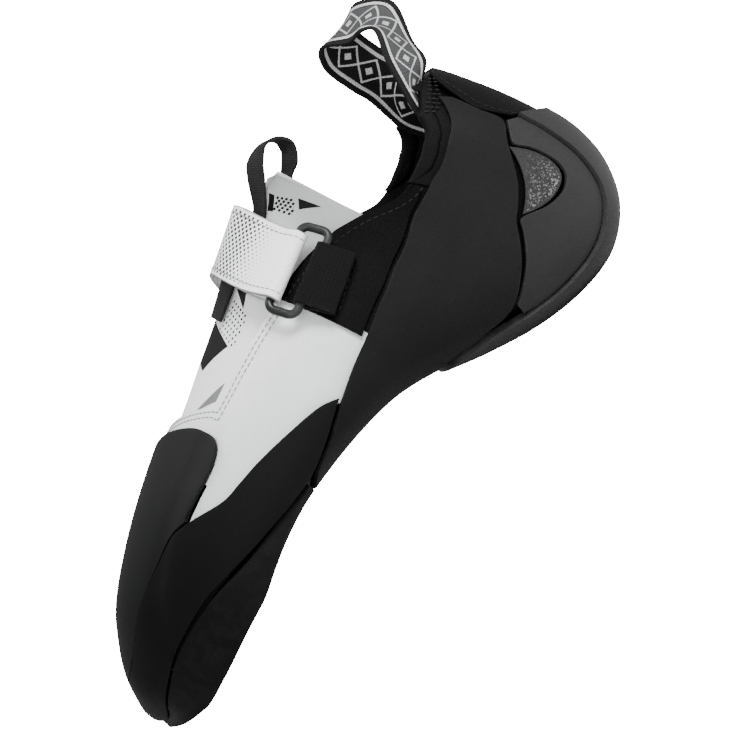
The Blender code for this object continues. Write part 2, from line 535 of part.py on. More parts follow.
def make_arch_band():
    front, rear = line(BAND_FRONT, 19), line(BAND_REAR, 19)
    front = np.concatenate([on_side(front, -1), on_side(front[-2::-1], 1)])
    rear = np.concatenate([on_side(rear, -1), on_side(rear[-2::-1], 1)])
    overlay("arch_band", "rubber", between(front, rear, 7), RUBBER, ROUND_SEAT)


def rubber_on_floor(name, stations, edge, columns, thickness):
    """A sheet across the sole's middle, no lower than the floor."""
    girth = edge[:, None] * np.linspace(-1, 1, columns)[None, :]
    places = np.stack([np.repeat(stations[:, None], columns, axis=1), girth], axis=-1)
    outer = on_last(places, SEAT + thickness + 0 * girth)
    outer[..., 2] = np.maximum(outer[..., 2], 0.0)
    layer(name, "rubber", outer, on_last(places, SEAT + 0 * girth))


def make_heel():
    start, end = STRIP_EDGE[0][0], STRIP_EDGE[-1][0]
    stations = np.concatenate([[start, start + 0.1], np.linspace(start + 0.4, end, 17)])
    rubber_on_floor("heel_strip", stations, girth_of(STRIP_EDGE, stations), 7, HEEL_RUBBER)
    for side, word in ((-1, "lateral"), (1, "medial")):
        inner, outer = line(CUP_INNER, 19), line(CUP_OUTER, 19)
        overlay("heel_cup_" + word, "rubber", on_side(between(inner, outer, 3), side), RUBBER, ROUND_SEAT)
        curve = line(WINDOW_CURVE, 9)
        first, last = curve[0], curve[-1]
        straight = first + (last - first) * np.linspace(0, 1, 9)[:, None]
        overlay("heel_window_" + word, "rough_rubber", on_side(between(straight, curve, 4), side), WINDOW_RUBBER)
    start, end = TAB_SIDE[0][0], TAB_SIDE[-1][0]
    stations = np.linspace(start, end, 7)
    edge = girth_of(TAB_SIDE, stations)
    girth = edge[:, None] * np.linspace(-1, 1, 7)[None, :]
    places = np.stack([np.repeat(stations[:, None], 7, axis=1), girth], axis=-1)
    overlay("heel_tab", "smooth_black", places, PANEL_WALL)


def make_collar():
    stations = np.linspace(BINDING_START, BINDING_END, 12)
    edge = opening_edge(stations) - EDGE_GAP
    for side, word in ((-1, "lateral"), (1, "medial")):
        low, high = line(PANEL_BAND, 11), line(PANEL_COLLAR, 11)
        overlay("collar_panel_" + word, "smooth_black", on_side(between(low, high, 6), side), PANEL_WALL)
        rim = np.stack([stations, edge], axis=1)
        fold = np.stack([stations, edge - BINDING_WIDTH * np.clip((BINDING_END - stations) * 2, 0.3, 1)], axis=1)
        overlay("collar_binding_" + word, "smooth_black", on_side(between(fold, rim, 3), side), PANEL_WALL)


# Strap, ring and loops


def half_girth(station):
    """Length round half the last at a station."""
    half = SURFACE[int(round(station * STATION_STEPS)), : GIRTH_STEPS + 1]
    return np.linalg.norm(np.diff(half, axis=0), axis=1).sum()


def strap_path():
    """Distance along the strap's line, with its points, outward directions and directions across, heelwards."""
    places = on_side(line(STRAP_LINE, STRAP_KNOTS), -1)
    knots = on_last(places, 0.0)
    fine = np.linspace(0, STRAP_KNOTS - 1, 10 * STRAP_KNOTS)
    points, out = along(knots, fine), unit(along(on_last(places, 1.0) - knots, fine))
    across = unit(np.cross(directions(points), out))
    walked = np.concatenate([[0], np.cumsum(np.linalg.norm(np.diff(points, axis=0), axis=1))])
    return walked, (points, out, across)


def strap_frame(path, distance):
    """Point, outward direction and direction across at a distance along the strap's line."""
    walked, fields = path
    point, out, across = (np.array([np.interp(distance, walked, field[:, k]) for k in range(3)]) for field in fields)
    return point, unit(out), unit(across)


def folded(name, finish, path, towards, lower_length, upper_length, width, thickness):
    """Strap folded round a bar of the ring, which it leaves along the strap's line (1) or against it (-1)."""
    middle, out, across = strap_frame(path, RING_AT)
    run = towards * np.cross(out, across)
    bar = (RING_DEPTH - RING_WIRE) / 2
    radius = RING_WIRE / 2 + GAP + thickness / 2
    base = STRAP_LIFT + thickness / 2
    top, rest = base + 2 * radius, base + thickness + GAP
    leaving = math.atan2(2 * (top - rest), STRAP_SETTLE)
    rows = [(distance, base) for distance in np.linspace(lower_length, 0, 10)[:-1]]
    for angle in np.linspace(-math.pi / 2, math.pi / 2 + leaving, 8):
        rows.append((-radius * math.cos(angle), base + radius * (1 + math.sin(angle))))
    first, height = rows[-1]
    for distance in np.linspace(first, upper_length, 12)[1:]:
        rows.append((distance, rest + (height - rest) * max(1 - (distance - first) / STRAP_SETTLE, 0.0) ** 2))
    columns = np.linspace(-width / 2, width / 2, 3)[:, None]
    grid = []
    for distance, height in rows:
        straight = middle + run * (bar + distance) + out * height + across * columns
        point, normal, sideways = strap_frame(path, RING_AT + towards * (bar + distance))
        curved = point + normal * height + sideways * columns
        share = eased(min(max(distance / STRAP_BEND, 0.0), 1.0))
        grid.append(straight * (1 - share) + curved * share)
    cloth(name, finish, np.array(grid), thickness)


def make_closure():
    path = strap_path()
    folded("strap", "white_leather", path, 1, STRAP_SEWN_LENGTH, STRAP_FREE_LENGTH, STRAP_WIDTH, STRAP_THICKNESS)
    folded("ring_webbing", "webbing", path, -1, RING_WEBBING_LENGTH, RING_WEBBING_LENGTH, RING_WEBBING_WIDTH,
           WEBBING_THICKNESS)
    middle, out, across = strap_frame(path, RING_AT)
    run = np.cross(out, across)
    bar = (RING_DEPTH - RING_WIRE) / 2
    bar_lift = STRAP_LIFT + GAP + RING_WIRE / 2
    strap_bar = run * bar + out * (bar_lift + STRAP_THICKNESS)
    webbing_bar = -run * bar + out * (bar_lift + WEBBING_THICKNESS)
    middle = middle + (strap_bar + webbing_bar) / 2
    short = unit(strap_bar - webbing_bar)
    half_long = (RING_LENGTH - RING_WIRE) / 2
    corner = RING_CORNER * bar
    centres, outward = [], []
    for sign_long, sign_short, start in ((1, 1, 0), (-1, 1, 90), (-1, -1, 180), (1, -1, 270)):
        for angle in np.radians(np.linspace(start, start + 90, 4)):
            direction = across * math.cos(angle) + short * math.sin(angle)
            seat = across * sign_long * (half_long - corner) + short * sign_short * (bar - corner)
            centres.append(middle + seat + direction * corner)
            outward.append(direction)
    closed_tube("ring", "hard_plastic", centres, outward, np.cross(across, short), RING_WIRE / 2, 8)


def make_tail():
    grid = []
    for station in np.linspace(TAIL_LINE[0][0], TAIL_LINE[1][0], 4):
        girth = -np.interp(station, *np.array(sorted(TAIL_LINE)).T)
        reach = np.array([0, TAIL_WIDTH / 2 / half_girth(station)])
        ends = np.array([station, girth]) + np.array([-reach, reach])
        grid.append(on_last(ends, TONGUE_FACE + ROUND_SEAT + WEBBING_THICKNESS / 2))
    cloth("strap_tail", "webbing", np.array(grid), WEBBING_THICKNESS)


def loop(name, rows, height, width, first, last):
    """Webbing through the rows of its table, between rows of points where its ends are sewn."""
    table = np.array(rows)
    centres = table[:, :3] * np.array([LENGTH, HEEL_WIDTH, height]) + np.array([TOE_X, 0, 0])
    run = directions(np.concatenate([first[-1:].mean(axis=1), centres, last[:1].mean(axis=1)]))[1:-1]
    across = table[:, 3:]
    across = unit(across - run * (across * run).sum(axis=1, keepdims=True))
    columns = np.linspace(-width / 2, width / 2, first.shape[1])
    grid = np.concatenate([first, centres[:, None] + across[:, None] * columns[None, :, None], last])
    cloth(name, "webbing", along(grid, np.linspace(0, len(grid) - 1, 3 * len(grid) - 2)), WEBBING_THICKNESS)


def make_loops():
    outside = TONGUE_FACE + SEAT + WEBBING_THICKNESS / 2
    behind = TONGUE_FACE - TONGUE_WALL - 2 * ROUND_SEAT - WEBBING_THICKNESS / 2
    sewn = []
    for places, depth in ((PULL_FRONT, outside), (PULL_BACK, behind)):
        columns = np.linspace(-1, 1, 3) * PULL_WIDTH / 2 / half_girth(places[0][0])
        sewn.append(np.array([on_last([(station, girth - column) for column in columns], depth)
                              for station, girth in places]))
    loop("tongue_pull_loop", PULL_LOOP, INSTEP_HEIGHT, PULL_WIDTH, *sewn)
    depth = -UPPER_WALL - 2 * ROUND_SEAT - WEBBING_THICKNESS / 2
    rows = np.array(HEEL_LOOP_SEWN)
    part = np.linspace(0, 1, 3)[None, :, None]
    places = rows[:, None, :2] * (1 - part) + rows[:, None, 2:] * part
    lateral, medial = on_last(on_side(places, -1), depth), on_last(on_side(places[::-1], 1), depth)
    loop("heel_loop", HEEL_LOOP, HEEL_HEIGHT, HEEL_LOOP_WIDTH, lateral, medial)


def main():
    for thing in list(bpy.data.objects):
        bpy.data.objects.remove(thing)
    make_upper()
    make_tongue()
    make_insole()
    make_outsole()
    make_forefoot_rubber()
    make_arch_band()
    make_heel()
    make_collar()
    make_closure()
    make_tail()
    make_loops()


main()
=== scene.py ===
"""Climbing shoe for the left foot: the finish of every surface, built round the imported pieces.

The last is the same function as in the part: it gives every point of the shoe from a station, counted
along the foot, and a girth share, counted from the middle of the sole (0) round the lateral side (negative)
or the medial side (positive) to the ridge (1). Here it is read on fine grids, with creases, rolled edges,
seams and prints.
"""
import math

import bmesh
import bpy
import numpy as np
from mathutils import Matrix, Vector


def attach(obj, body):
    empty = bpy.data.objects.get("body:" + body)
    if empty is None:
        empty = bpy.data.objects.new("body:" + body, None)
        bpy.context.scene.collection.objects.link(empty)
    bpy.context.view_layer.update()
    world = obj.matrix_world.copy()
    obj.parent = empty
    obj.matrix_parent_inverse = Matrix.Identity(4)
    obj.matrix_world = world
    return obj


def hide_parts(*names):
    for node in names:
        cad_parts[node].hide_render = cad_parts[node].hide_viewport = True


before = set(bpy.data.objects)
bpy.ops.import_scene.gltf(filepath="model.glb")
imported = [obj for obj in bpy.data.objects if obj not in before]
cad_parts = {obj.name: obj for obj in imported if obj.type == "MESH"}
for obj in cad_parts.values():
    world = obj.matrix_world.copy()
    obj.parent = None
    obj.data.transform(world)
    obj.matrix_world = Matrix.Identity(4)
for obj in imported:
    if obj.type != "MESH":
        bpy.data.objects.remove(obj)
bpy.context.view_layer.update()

MM = 0.001

# Driving sizes
LENGTH = 245.0 * MM  # last and rubber, nose to back of the heel
BALL_WIDTH = 86.0 * MM  # upper, across the ball of the foot
HEEL_WIDTH = 61.0 * MM  # upper, across the heel
INSTEP_HEIGHT = 105.0 * MM  # top of the instep above the floor
HEEL_HEIGHT = 88.0 * MM  # top of the heel above the floor
ARCH_RISE = 26.0 * MM  # downturn: underside of the upper above the floor at the arch
UPPER_WALL = 1.8 * MM
TONGUE_WALL = 1.5 * MM
TONGUE_RISE = 1.6 * MM  # how far the tongue swells up between the throat's edges
INSOLE_THICKNESS = 2.0 * MM
OUTSOLE_THICKNESS = 4.0 * MM
OUTSOLE_LIP = 1.9 * MM  # how far the outsole stands out from the upper
RUBBER = 1.5 * MM  # rand, toe patch, arch band and heel cup
WINDOW_RUBBER = 0.8 * MM
HEEL_RUBBER = 3.2 * MM  # heel strip
PANEL_WALL = 1.1 * MM  # collar panels, binding and heel tab
STRAP_WIDTH = 25.0 * MM
STRAP_THICKNESS = 1.4 * MM
WEBBING_THICKNESS = 1.1 * MM
RING_WIRE = 3.0 * MM
RING_LENGTH = 34.0 * MM
RING_DEPTH = 13.5 * MM
RING_CORNER = 0.55  # radius of the ring's corners as a share of half its depth
PULL_WIDTH = 6.5 * MM  # tongue pull loop
TAIL_WIDTH = 12.0 * MM
HEEL_LOOP_WIDTH = 18.0 * MM
GAP = 0.3 * MM  # between pieces that touch
SEAT = 0.6 * MM  # between curved pieces that lie on each other, whose facets differ
ROUND_SEAT = 0.9 * MM  # the same where the ground is round both ways
STRAP_LIFT = PANEL_WALL + 2 * ROUND_SEAT  # underside of strap and ring webbing above the last
EDGE_GAP = 0.006  # between the edges of two pieces, as a girth share
RING_AT = 24.8 * MM  # along the strap's line, from the sewn end of the ring webbing to the middle of the ring
RING_WEBBING_WIDTH = 22.0 * MM
RING_WEBBING_LENGTH = 10.0 * MM  # from the ring's bar to its sewn end
STRAP_FREE_LENGTH = 72.0 * MM  # from the ring's bar to the strap's free end
STRAP_SEWN_LENGTH = 86.0 * MM  # from the ring's bar to the strap's sewn end
STRAP_SETTLE = 18.0 * MM  # length over which a folded strap comes down on itself behind the ring
STRAP_BEND = 11.0 * MM  # how far from the ring's bar a strap follows the foot

# Fineness
GIRTH_STEPS = 160  # points of the last's half girth
STATION_STEPS = 20  # points of the last between two stations
GIRTH_IN_STATIONS = 9.0  # how many stations are about as long as half the girth
STRAP_KNOTS = 13  # points that the strap's line is drawn through

# The last. sole_x and ridge_x are shares of LENGTH from the toe, arch of ARCH_RISE and heel of HEEL_HEIGHT,
# added, ridge_z of INSTEP_HEIGHT. lateral, medial, sole_y and ridge_y are shares of the width, which goes
# from BALL_WIDTH to HEEL_WIDTH with heel_part. widest is a share of the section's height, flat and roof are
# the exponents of its lower and upper corners, and open is the width left at its top, as a share.
STATIONS = (
    # sole_x, arch, heel, ridge_x, ridge_z, lateral, medial, sole_y, ridge_y, heel_part, widest, flat, roof,
    # open
    (0.007, 0.365, 0.000, 0.007, 0.090, -0.160, 0.160, 0.160, 0.160, 0.0, 0.40, 2.2, 2.10, 0.00),
    (0.012, 0.215, 0.000, 0.012, 0.133, -0.060, 0.265, 0.160, 0.165, 0.0, 0.40, 2.3, 2.10, 0.00),
    (0.033, 0.155, 0.000, 0.025, 0.210, 0.065, 0.340, 0.140, 0.170, 0.0, 0.40, 2.4, 2.10, 0.00),
    (0.065, 0.165, 0.000, 0.047, 0.286, 0.175, 0.395, 0.110, 0.175, 0.0, 0.39, 2.5, 2.10, 0.00),
    (0.114, 0.320, 0.000, 0.086, 0.386, 0.290, 0.435, 0.070, 0.165, 0.0, 0.38, 2.6, 2.10, 0.00),
    (0.184, 0.560, 0.000, 0.149, 0.486, 0.410, 0.470, 0.030, 0.150, 0.0, 0.36, 2.7, 2.00, 0.00),
    (0.257, 0.750, 0.000, 0.220, 0.576, 0.488, 0.482, 0.000, 0.128, 0.0, 0.35, 2.8, 2.00, 0.00),
    (0.335, 0.895, 0.000, 0.302, 0.662, 0.517, 0.482, -0.018, 0.110, 0.0, 0.34, 2.8, 1.90, 0.00),
    (0.412, 0.990, 0.000, 0.384, 0.729, 0.512, 0.453, -0.030, 0.093, 0.0, 0.33, 2.8, 1.80, 0.00),
    (0.486, 1.020, 0.000, 0.461, 0.805, 0.483, 0.395, -0.035, 0.081, 0.0, 0.32, 2.8, 1.75, 0.00),
    (0.555, 0.970, 0.000, 0.535, 0.890, 0.442, 0.360, -0.035, 0.058, 0.0, 0.31, 2.8, 1.70, 0.04),
    (0.620, 0.790, 0.000, 0.592, 0.943, 0.480, 0.405, -0.035, 0.050, 0.5, 0.30, 2.7, 1.70, 0.12),
    (0.690, 0.500, 0.000, 0.629, 0.976, 0.555, 0.500, -0.025, 0.050, 1.0, 0.29, 2.6, 1.70, 0.24),
    (0.767, 0.245, 0.000, 0.655, 0.995, 0.533, 0.508, -0.008, 0.033, 1.0, 0.28, 2.5, 1.80, 0.38),
    (0.841, 0.128, 0.000, 0.665, 1.000, 0.516, 0.508, 0.000, 0.015, 1.0, 0.29, 2.4, 1.80, 0.50),
    (0.906, 0.177, 0.000, 0.673, 1.000, 0.500, 0.495, 0.000, 0.000, 1.0, 0.33, 2.3, 1.90, 0.58),
    (0.957, 0.000, 0.142, 0.678, 1.000, 0.485, 0.480, 0.000, 0.000, 1.0, 0.37, 2.2, 1.90, 0.64),
    (0.985, 0.000, 0.284, 0.682, 1.000, 0.475, 0.470, 0.000, 0.000, 1.0, 0.40, 2.1, 2.00, 0.68),
    (0.991, 0.000, 0.437, 0.684, 1.000, 0.465, 0.460, 0.000, 0.000, 1.0, 0.42, 2.0, 2.00, 0.70),
    (0.980, 0.000, 0.591, 0.686, 1.000, 0.450, 0.450, 0.000, 0.000, 1.0, 0.44, 2.0, 2.00, 0.70),
    (0.960, 0.000, 0.761, 0.686, 1.000, 0.430, 0.435, 0.000, 0.000, 1.0, 0.46, 2.0, 2.00, 0.70),
    (0.932, 0.000, 0.943, 0.686, 1.000, 0.410, 0.415, 0.000, 0.000, 1.0, 0.48, 2.0, 2.00, 0.70),
    (0.919, 0.000, 1.011, 0.686, 1.000, 0.400, 0.405, 0.000, 0.000, 1.0, 0.50, 2.0, 2.00, 0.70),
)
COLUMNS = ("sole_x", "arch", "heel", "ridge_x", "ridge_z", "lateral", "medial", "sole_y", "ridge_y",
           "heel_part", "widest", "flat", "roof", "open")
TABLE = {name: np.array([row[i] for row in STATIONS]) for i, name in enumerate(COLUMNS)}
TOP = len(STATIONS) - 1  # station of the top of the heel
NOSE = min(TABLE["sole_x"]) * LENGTH - OUTSOLE_LIP
BACK = max(TABLE["sole_x"]) * LENGTH + SEAT + HEEL_RUBBER
TOE_X = -0.5 * (NOSE + BACK)

# Pattern lines on the last, from one end to the other, as (station, girth share) on the lateral side. The
# medial side mirrors them, apart from the throat, which starts nearer the toe there.
OUTSOLE_THIN = 5.6  # station from which the outsole thins out to the arch band
OUTSOLE_RIM = ((1.0, 0.0), (1.3, 0.20), (1.7, 0.33), (2.3, 0.41), (3.0, 0.44), (3.8, 0.445), (5.0, 0.42),
               (6.1, 0.375), (6.6, 0.355), (7.1, 0.335), (7.5, 0.32))
RAND_TOP = ((9.1, 0.385), (8.7, 0.42), (8.0, 0.455), (7.4, 0.48), (6.95, 0.495), (6.55, 0.515), (6.0, 0.585),
            (5.5, 0.64), (4.5, 0.67), (3.5, 0.69), (2.6, 0.74), (2.0, 0.84), (1.8, 1.0))
RAND_LOW = ((7.65, 0.335), (7.1, 0.35), (6.6, 0.37), (6.1, 0.39), (5.5, 0.415), (5.0, 0.435), (4.4, 0.45),
            (3.8, 0.46), (3.0, 0.455), (2.3, 0.425), (1.7, 0.347), (1.3, 0.22), (0.95, 0.0))
PATCH_REAR = ((6.05, 0.60), (6.75, 0.60), (7.05, 0.607), (7.25, 0.625), (7.35, 0.66), (7.35, 0.72),
              (7.25, 0.79), (7.05, 0.90), (6.85, 1.0))
PATCH_REAR_MEDIAL = ((6.05, 0.60), (6.2, 0.62), (6.35, 0.66), (6.45, 0.72), (6.5, 0.79), (6.6, 0.90),
                     (6.85, 1.0))
PATCH_NOSE = ((6.02, 0.595), (5.5, 0.65), (4.5, 0.68), (3.5, 0.70), (2.65, 0.755), (2.1, 0.85), (1.9, 1.0))
BAND_FRONT = ((20.4, 0.36), (19.2, 0.45), (18.0, 0.53), (16.9, 0.58), (15.6, 0.625), (14.0, 0.625),
              (12.35, 0.55), (11.45, 0.49), (10.4, 0.425), (9.35, 0.385), (8.9, 0.37), (8.35, 0.345),
              (7.85, 0.32), (7.65, 0.25), (7.58, 0.0))
BAND_REAR = ((20.2, 0.33), (19.4, 0.325), (18.8, 0.31), (17.95, 0.362), (17.3, 0.388), (16.5, 0.40),
             (15.4, 0.402), (14.75, 0.388), (13.65, 0.315), (12.8, 0.25), (12.1, 0.225), (11.5, 0.20),
             (11.15, 0.15), (11.1, 0.0))
STRIP_EDGE = ((11.15, 0.0), (11.25, 0.14), (11.7, 0.185), (12.3, 0.205), (13.0, 0.20), (13.6, 0.19),
              (14.2, 0.18), (15.0, 0.165), (15.65, 0.155), (16.25, 0.155), (16.9, 0.175), (17.6, 0.205),
              (18.4, 0.235), (18.85, 0.24))
WINDOW_CURVE = ((17.55, 0.375), (17.4, 0.33), (17.2, 0.30), (16.9, 0.275), (16.55, 0.27), (16.15, 0.29),
                (15.65, 0.33), (15.2, 0.385))
CUP_OUTER = ((18.75, 0.25), (18.4, 0.242), (17.6, 0.212), (16.9, 0.182), (16.25, 0.162), (15.65, 0.162),
             (15.0, 0.172), (14.2, 0.187), (13.4, 0.20), (12.9, 0.212))
CUP_INNER = ((18.7, 0.30), (18.2, 0.335), (17.65, 0.36), (17.45, 0.32), (17.2, 0.29), (16.9, 0.265),
             (16.55, 0.26), (16.1, 0.28), (15.6, 0.325), (15.1, 0.385), (14.7, 0.372), (13.6, 0.30),
             (12.95, 0.25))
TAB_SIDE = ((18.95, 0.25), (19.4, 0.305), (19.9, 0.31), (20.4, 0.285), (21.0, 0.24), (21.5, 0.195),
            (21.9, 0.14))
COLLAR = ((7.8, 0.72), (8.6, 0.72), (9.6, 0.712), (11.0, 0.73), (12.25, 0.74), (13.6, 0.722),
          (14.7, 0.69), (15.55, 0.675), (16.9, 0.63), (18.0, 0.585), (20.0, 0.475), (20.6, 0.39),
          (21.2, 0.29), (22.0, 0.17))
THROAT_CORNER = 7.8  # station of the lateral corner of the throat's bottom
THROAT_SLANT = 1.3  # stations that the medial corner lies nearer the toe
SLANT_REACH = 3.6  # stations over which the slant dies away
SLANT_SIDE = 0.35  # girth share of the medial side from which it grows up to the throat's edge
PANEL_BAND = ((10.35, 0.435), (11.4, 0.50), (12.3, 0.56), (13.1, 0.60), (14.0, 0.635), (14.8, 0.643),
              (15.5, 0.645))
PANEL_COLLAR = ((9.95, 0.70), (11.0, 0.717), (12.25, 0.728), (13.0, 0.722), (13.6, 0.71), (14.7, 0.68),
                (15.5, 0.662))
BINDING_START = 15.7
BINDING_END = 21.3
TONGUE_START, TONGUE_END = 6.0, 13.3
TONGUE_LAP = 0.04  # girth share that the tongue goes on under the throat's edge
INSOLE_START, INSOLE_END = 1.6, 15.0
NOSE_END = 2.6  # station up to which pieces go straight round the nose
NOSE_BLEND = 1.6  # stations over which that dies away
INSOLE_GIRTH = ((1.6, 0.22), (2.3, 0.36), (3.8, 0.38), (6.0, 0.34), (9.0, 0.24), (12.0, 0.17), (15.0, 0.12))
# middle of ring webbing, ring and strap, over the ridge to the medial side
STRAP_LINE = ((11.25, 0.50), (10.93, 0.60), (10.6, 0.70), (10.45, 0.80), (10.42, 0.90), (10.42, 1.0),
              (10.3, 1.15), (10.1, 1.3), (9.9, 1.5))
TAIL_LINE = ((9.95, 0.952), (9.05, 0.95))

# The tongue's pull loop and the heel's: x as share of LENGTH from the toe, y of HEEL_WIDTH, z of
# INSTEP_HEIGHT or HEEL_HEIGHT, then the direction across the webbing
PULL_LOOP = (
    # x, y, z, across x, across y, across z
    (0.641, -0.100, 1.020, -0.50, 0.63, 0.60),
    (0.657, -0.100, 1.059, -0.50, 0.70, 0.50),
    (0.681, -0.090, 1.080, -0.15, 0.98, 0.15),
    (0.700, -0.080, 1.062, -0.15, 0.98, 0.00),
    (0.704, -0.080, 1.020, -0.65, 0.75, 0.10),
    (0.692, -0.090, 0.983, -0.70, 0.65, 0.25),
    (0.672, -0.070, 0.952, -0.40, 0.85, 0.20),
)
PULL_FRONT = ((11.15, -0.965), (11.5, -0.965))  # where it is sewn on the tongue, from its end up
PULL_BACK = ((12.6, -0.955), (12.1, -0.96))  # where it is sewn behind the tongue, from the edge down
HEEL_LOOP = (
    # x, y, z, across x, across y, across z
    (0.894, -0.300, 1.105, 0.70, 0.50, 0.50),
    (0.914, -0.165, 1.210, 0.45, 0.85, 0.25),
    (0.921, -0.035, 1.305, 0.50, 0.78, 0.38),
    (0.899, 0.095, 1.352, 0.75, 0.50, 0.40),
    (0.872, 0.200, 1.366, 0.96, 0.20, 0.10),
    (0.866, 0.265, 1.300, 1.00, 0.00, 0.00),
    (0.872, 0.300, 1.190, 0.97, -0.10, 0.20),
    (0.880, 0.320, 1.090, 0.85, -0.25, 0.45),
)
HEEL_LOOP_SEWN = (
    # front station, front girth, back station, back girth, inside the collar from its end up to the rim
    (19.2, 0.45, 20.7, 0.17),
    (20.0, 0.475, 22.0, 0.17),
)

# The last


def along(values, place):
    """Smooth curve through evenly spaced values, read at places counted from 0."""
    place = np.clip(place, 0.0, len(values) - 1.0)
    first = np.minimum(place.astype(int), len(values) - 2)
    part = (place - first).reshape(place.shape + (1,) * (np.ndim(values) - 1))
    slope = np.gradient(values, axis=0)
    return (values[first] * (1 + 2 * part) * (1 - part) ** 2 + values[first + 1] * (3 - 2 * part) * part ** 2
            + slope[first] * part * (1 - part) ** 2 - slope[first + 1] * (1 - part) * part ** 2)


def lengths_along(points):
    """Distance of each point from the first one along the path."""
    return np.concatenate([[0], np.cumsum(np.linalg.norm(np.diff(points, axis=0), axis=1))])


def half_section(row, side):
    """Points of one side of a section, from the middle of the sole to the ridge, evenly along the girth."""
    width = BALL_WIDTH + row["heel_part"] * (HEEL_WIDTH - BALL_WIDTH)
    turn = np.linspace(0, math.pi / 2, 60)
    low, high = np.sin(turn) ** (2 / row["flat"]), np.sin(turn[1:]) ** (2 / row["roof"])
    rise = row["widest"] * (1 - np.cos(turn) ** (2 / row["flat"]))
    rise = np.concatenate([rise, row["widest"] + (1 - row["widest"]) * high])
    closing = 1 - max(row["open"], 0.0) ** row["roof"]
    breadth = np.concatenate([low, (1 - closing * high ** row["roof"]) ** (1 / row["roof"])])
    lean = row["ridge_y"] - row["sole_y"]
    edge = side * (row["medial"] if side > 0 else row["lateral"]) - row["sole_y"] - lean * row["widest"]
    x = TOE_X + LENGTH * (row["sole_x"] + rise * (row["ridge_x"] - row["sole_x"]))
    y = width * (row["sole_y"] + lean * rise + edge * breadth)
    sole_z = row["arch"] * ARCH_RISE + row["heel"] * HEEL_HEIGHT
    z = sole_z + rise * (row["ridge_z"] * INSTEP_HEIGHT - sole_z)
    points = np.stack([x, y, z], axis=1)
    walked = lengths_along(points)
    even = np.linspace(0, max(walked[-1], 1e-9), GIRTH_STEPS + 1)
    return np.stack([np.interp(even, walked, points[:, k]) for k in range(3)], axis=1)


def measure_last():
    """Surface and outward normals of the last on a fine grid of stations and girth shares from -1 to 1."""
    stations = np.linspace(0, TOP, TOP * STATION_STEPS + 1)
    columns = {name: along(TABLE[name], stations) for name in COLUMNS}
    surface = []
    for i in range(len(stations)):
        row = {name: columns[name][i] for name in COLUMNS}
        lateral, medial = half_section(row, -1), half_section(row, 1)
        surface.append(np.concatenate([lateral[:0:-1], medial]))
    surface = np.array(surface)
    surface[0] = surface[0].mean(axis=0)  # the nose is one point
    surface[..., 1] -= 0.5 * (surface[..., 1].min() + surface[..., 1].max())
    wrapped = np.concatenate([surface[:, -2:-1], surface, surface[:, 1:2]], axis=1)
    across = wrapped[:, 2:] - wrapped[:, :-2]
    normals = np.cross(across, np.gradient(surface, axis=0))
    normals[0] = normals[1].mean(axis=0)
    normals /= np.maximum(np.linalg.norm(normals, axis=2, keepdims=True), 1e-12)
    return surface, normals


SURFACE, NORMALS = measure_last()


def read(field, places):
    """Value of a field of the last at places given as (station, girth share)."""
    station = np.clip(places[..., 0], 0, TOP) * STATION_STEPS
    girth = np.mod(places[..., 1] + 1, 2) * GIRTH_STEPS
    i = np.minimum(station.astype(int), field.shape[0] - 2)
    j = np.minimum(girth.astype(int), field.shape[1] - 2)
    a, b = (station - i)[..., None], (girth - j)[..., None]
    return ((field[i, j] * (1 - a) + field[i + 1, j] * a) * (1 - b)
            + (field[i, j + 1] * (1 - a) + field[i + 1, j + 1] * a) * b)


def on_last(places, depth):
    """Points that lie depth outside the last, or inside it where depth is negative."""
    places = np.asarray(places, float)
    normal = read(NORMALS, places)
    normal /= np.linalg.norm(normal, axis=-1, keepdims=True)
    return read(SURFACE, places) + normal * np.asarray(depth)[..., None]


# Pattern lines

SIDES = ((-1, "lateral"), (1, "medial"))


def line(points, count):
    """A smooth line through (station, girth share) places, read at evenly spaced points."""
    points = np.array(points, float)
    fine = along(points, np.linspace(0, len(points) - 1, 400))
    step = np.hypot(np.diff(fine[:, 0]), np.diff(fine[:, 1]) * GIRTH_IN_STATIONS)
    walked = np.concatenate([[0], np.cumsum(step)])
    even = np.linspace(0, walked[-1], count)
    return np.stack([np.interp(even, walked, fine[:, k]) for k in range(2)], axis=1)


def on_side(places, side):
    """The lateral or the medial copy of a pattern line."""
    return places * np.array([1, side])


def girth_of(points, stations):
    """Girth share of a pattern line at stations."""
    points = np.array(points)
    fine = along(points, np.linspace(0, len(points) - 1, 400))
    return np.interp(stations, fine[:, 0], fine[:, 1])


def between(first, second, count):
    """Grid of places ruled between two lines."""
    part = np.linspace(0, 1, count)[None, :, None]
    return first[:, None] * (1 - part) + second[:, None] * part


def both_sides(lateral, medial=None):
    """A pattern line on the lateral side, and back along it or along another on the medial side."""
    back = lateral if medial is None else medial
    return np.concatenate([on_side(lateral, -1), on_side(back[-2::-1], 1)])


def round_sole(edge, stations, count):
    """Grid of places from a pattern line on the lateral side, under the foot, to the medial side."""
    girth = girth_of(edge, stations)[:, None] * np.linspace(-1, 1, count)[None, :]
    return np.stack([np.repeat(stations[:, None], count, axis=1), girth], axis=-1)


def round_nose(first, second, count):
    """Grid ruled between two lines that pass the nose on both sides, as seen from in front of it."""
    straight = between(first, second, count)

    def flat(places):
        angle = places[..., 1] * math.pi
        return np.stack([places[..., 0] * np.sin(angle), -places[..., 0] * np.cos(angle)], axis=-1)

    seen = between(flat(first), flat(second), count)
    turned = np.arctan2(seen[..., 0], -seen[..., 1]) / math.pi
    polar = np.stack([np.hypot(seen[..., 0], seen[..., 1]), turned], -1)
    share = np.clip((np.minimum(first[:, 0], second[:, 0]) - NOSE_END) / NOSE_BLEND, 0, 1)[:, None, None]
    return straight * share + polar * (1 - share)


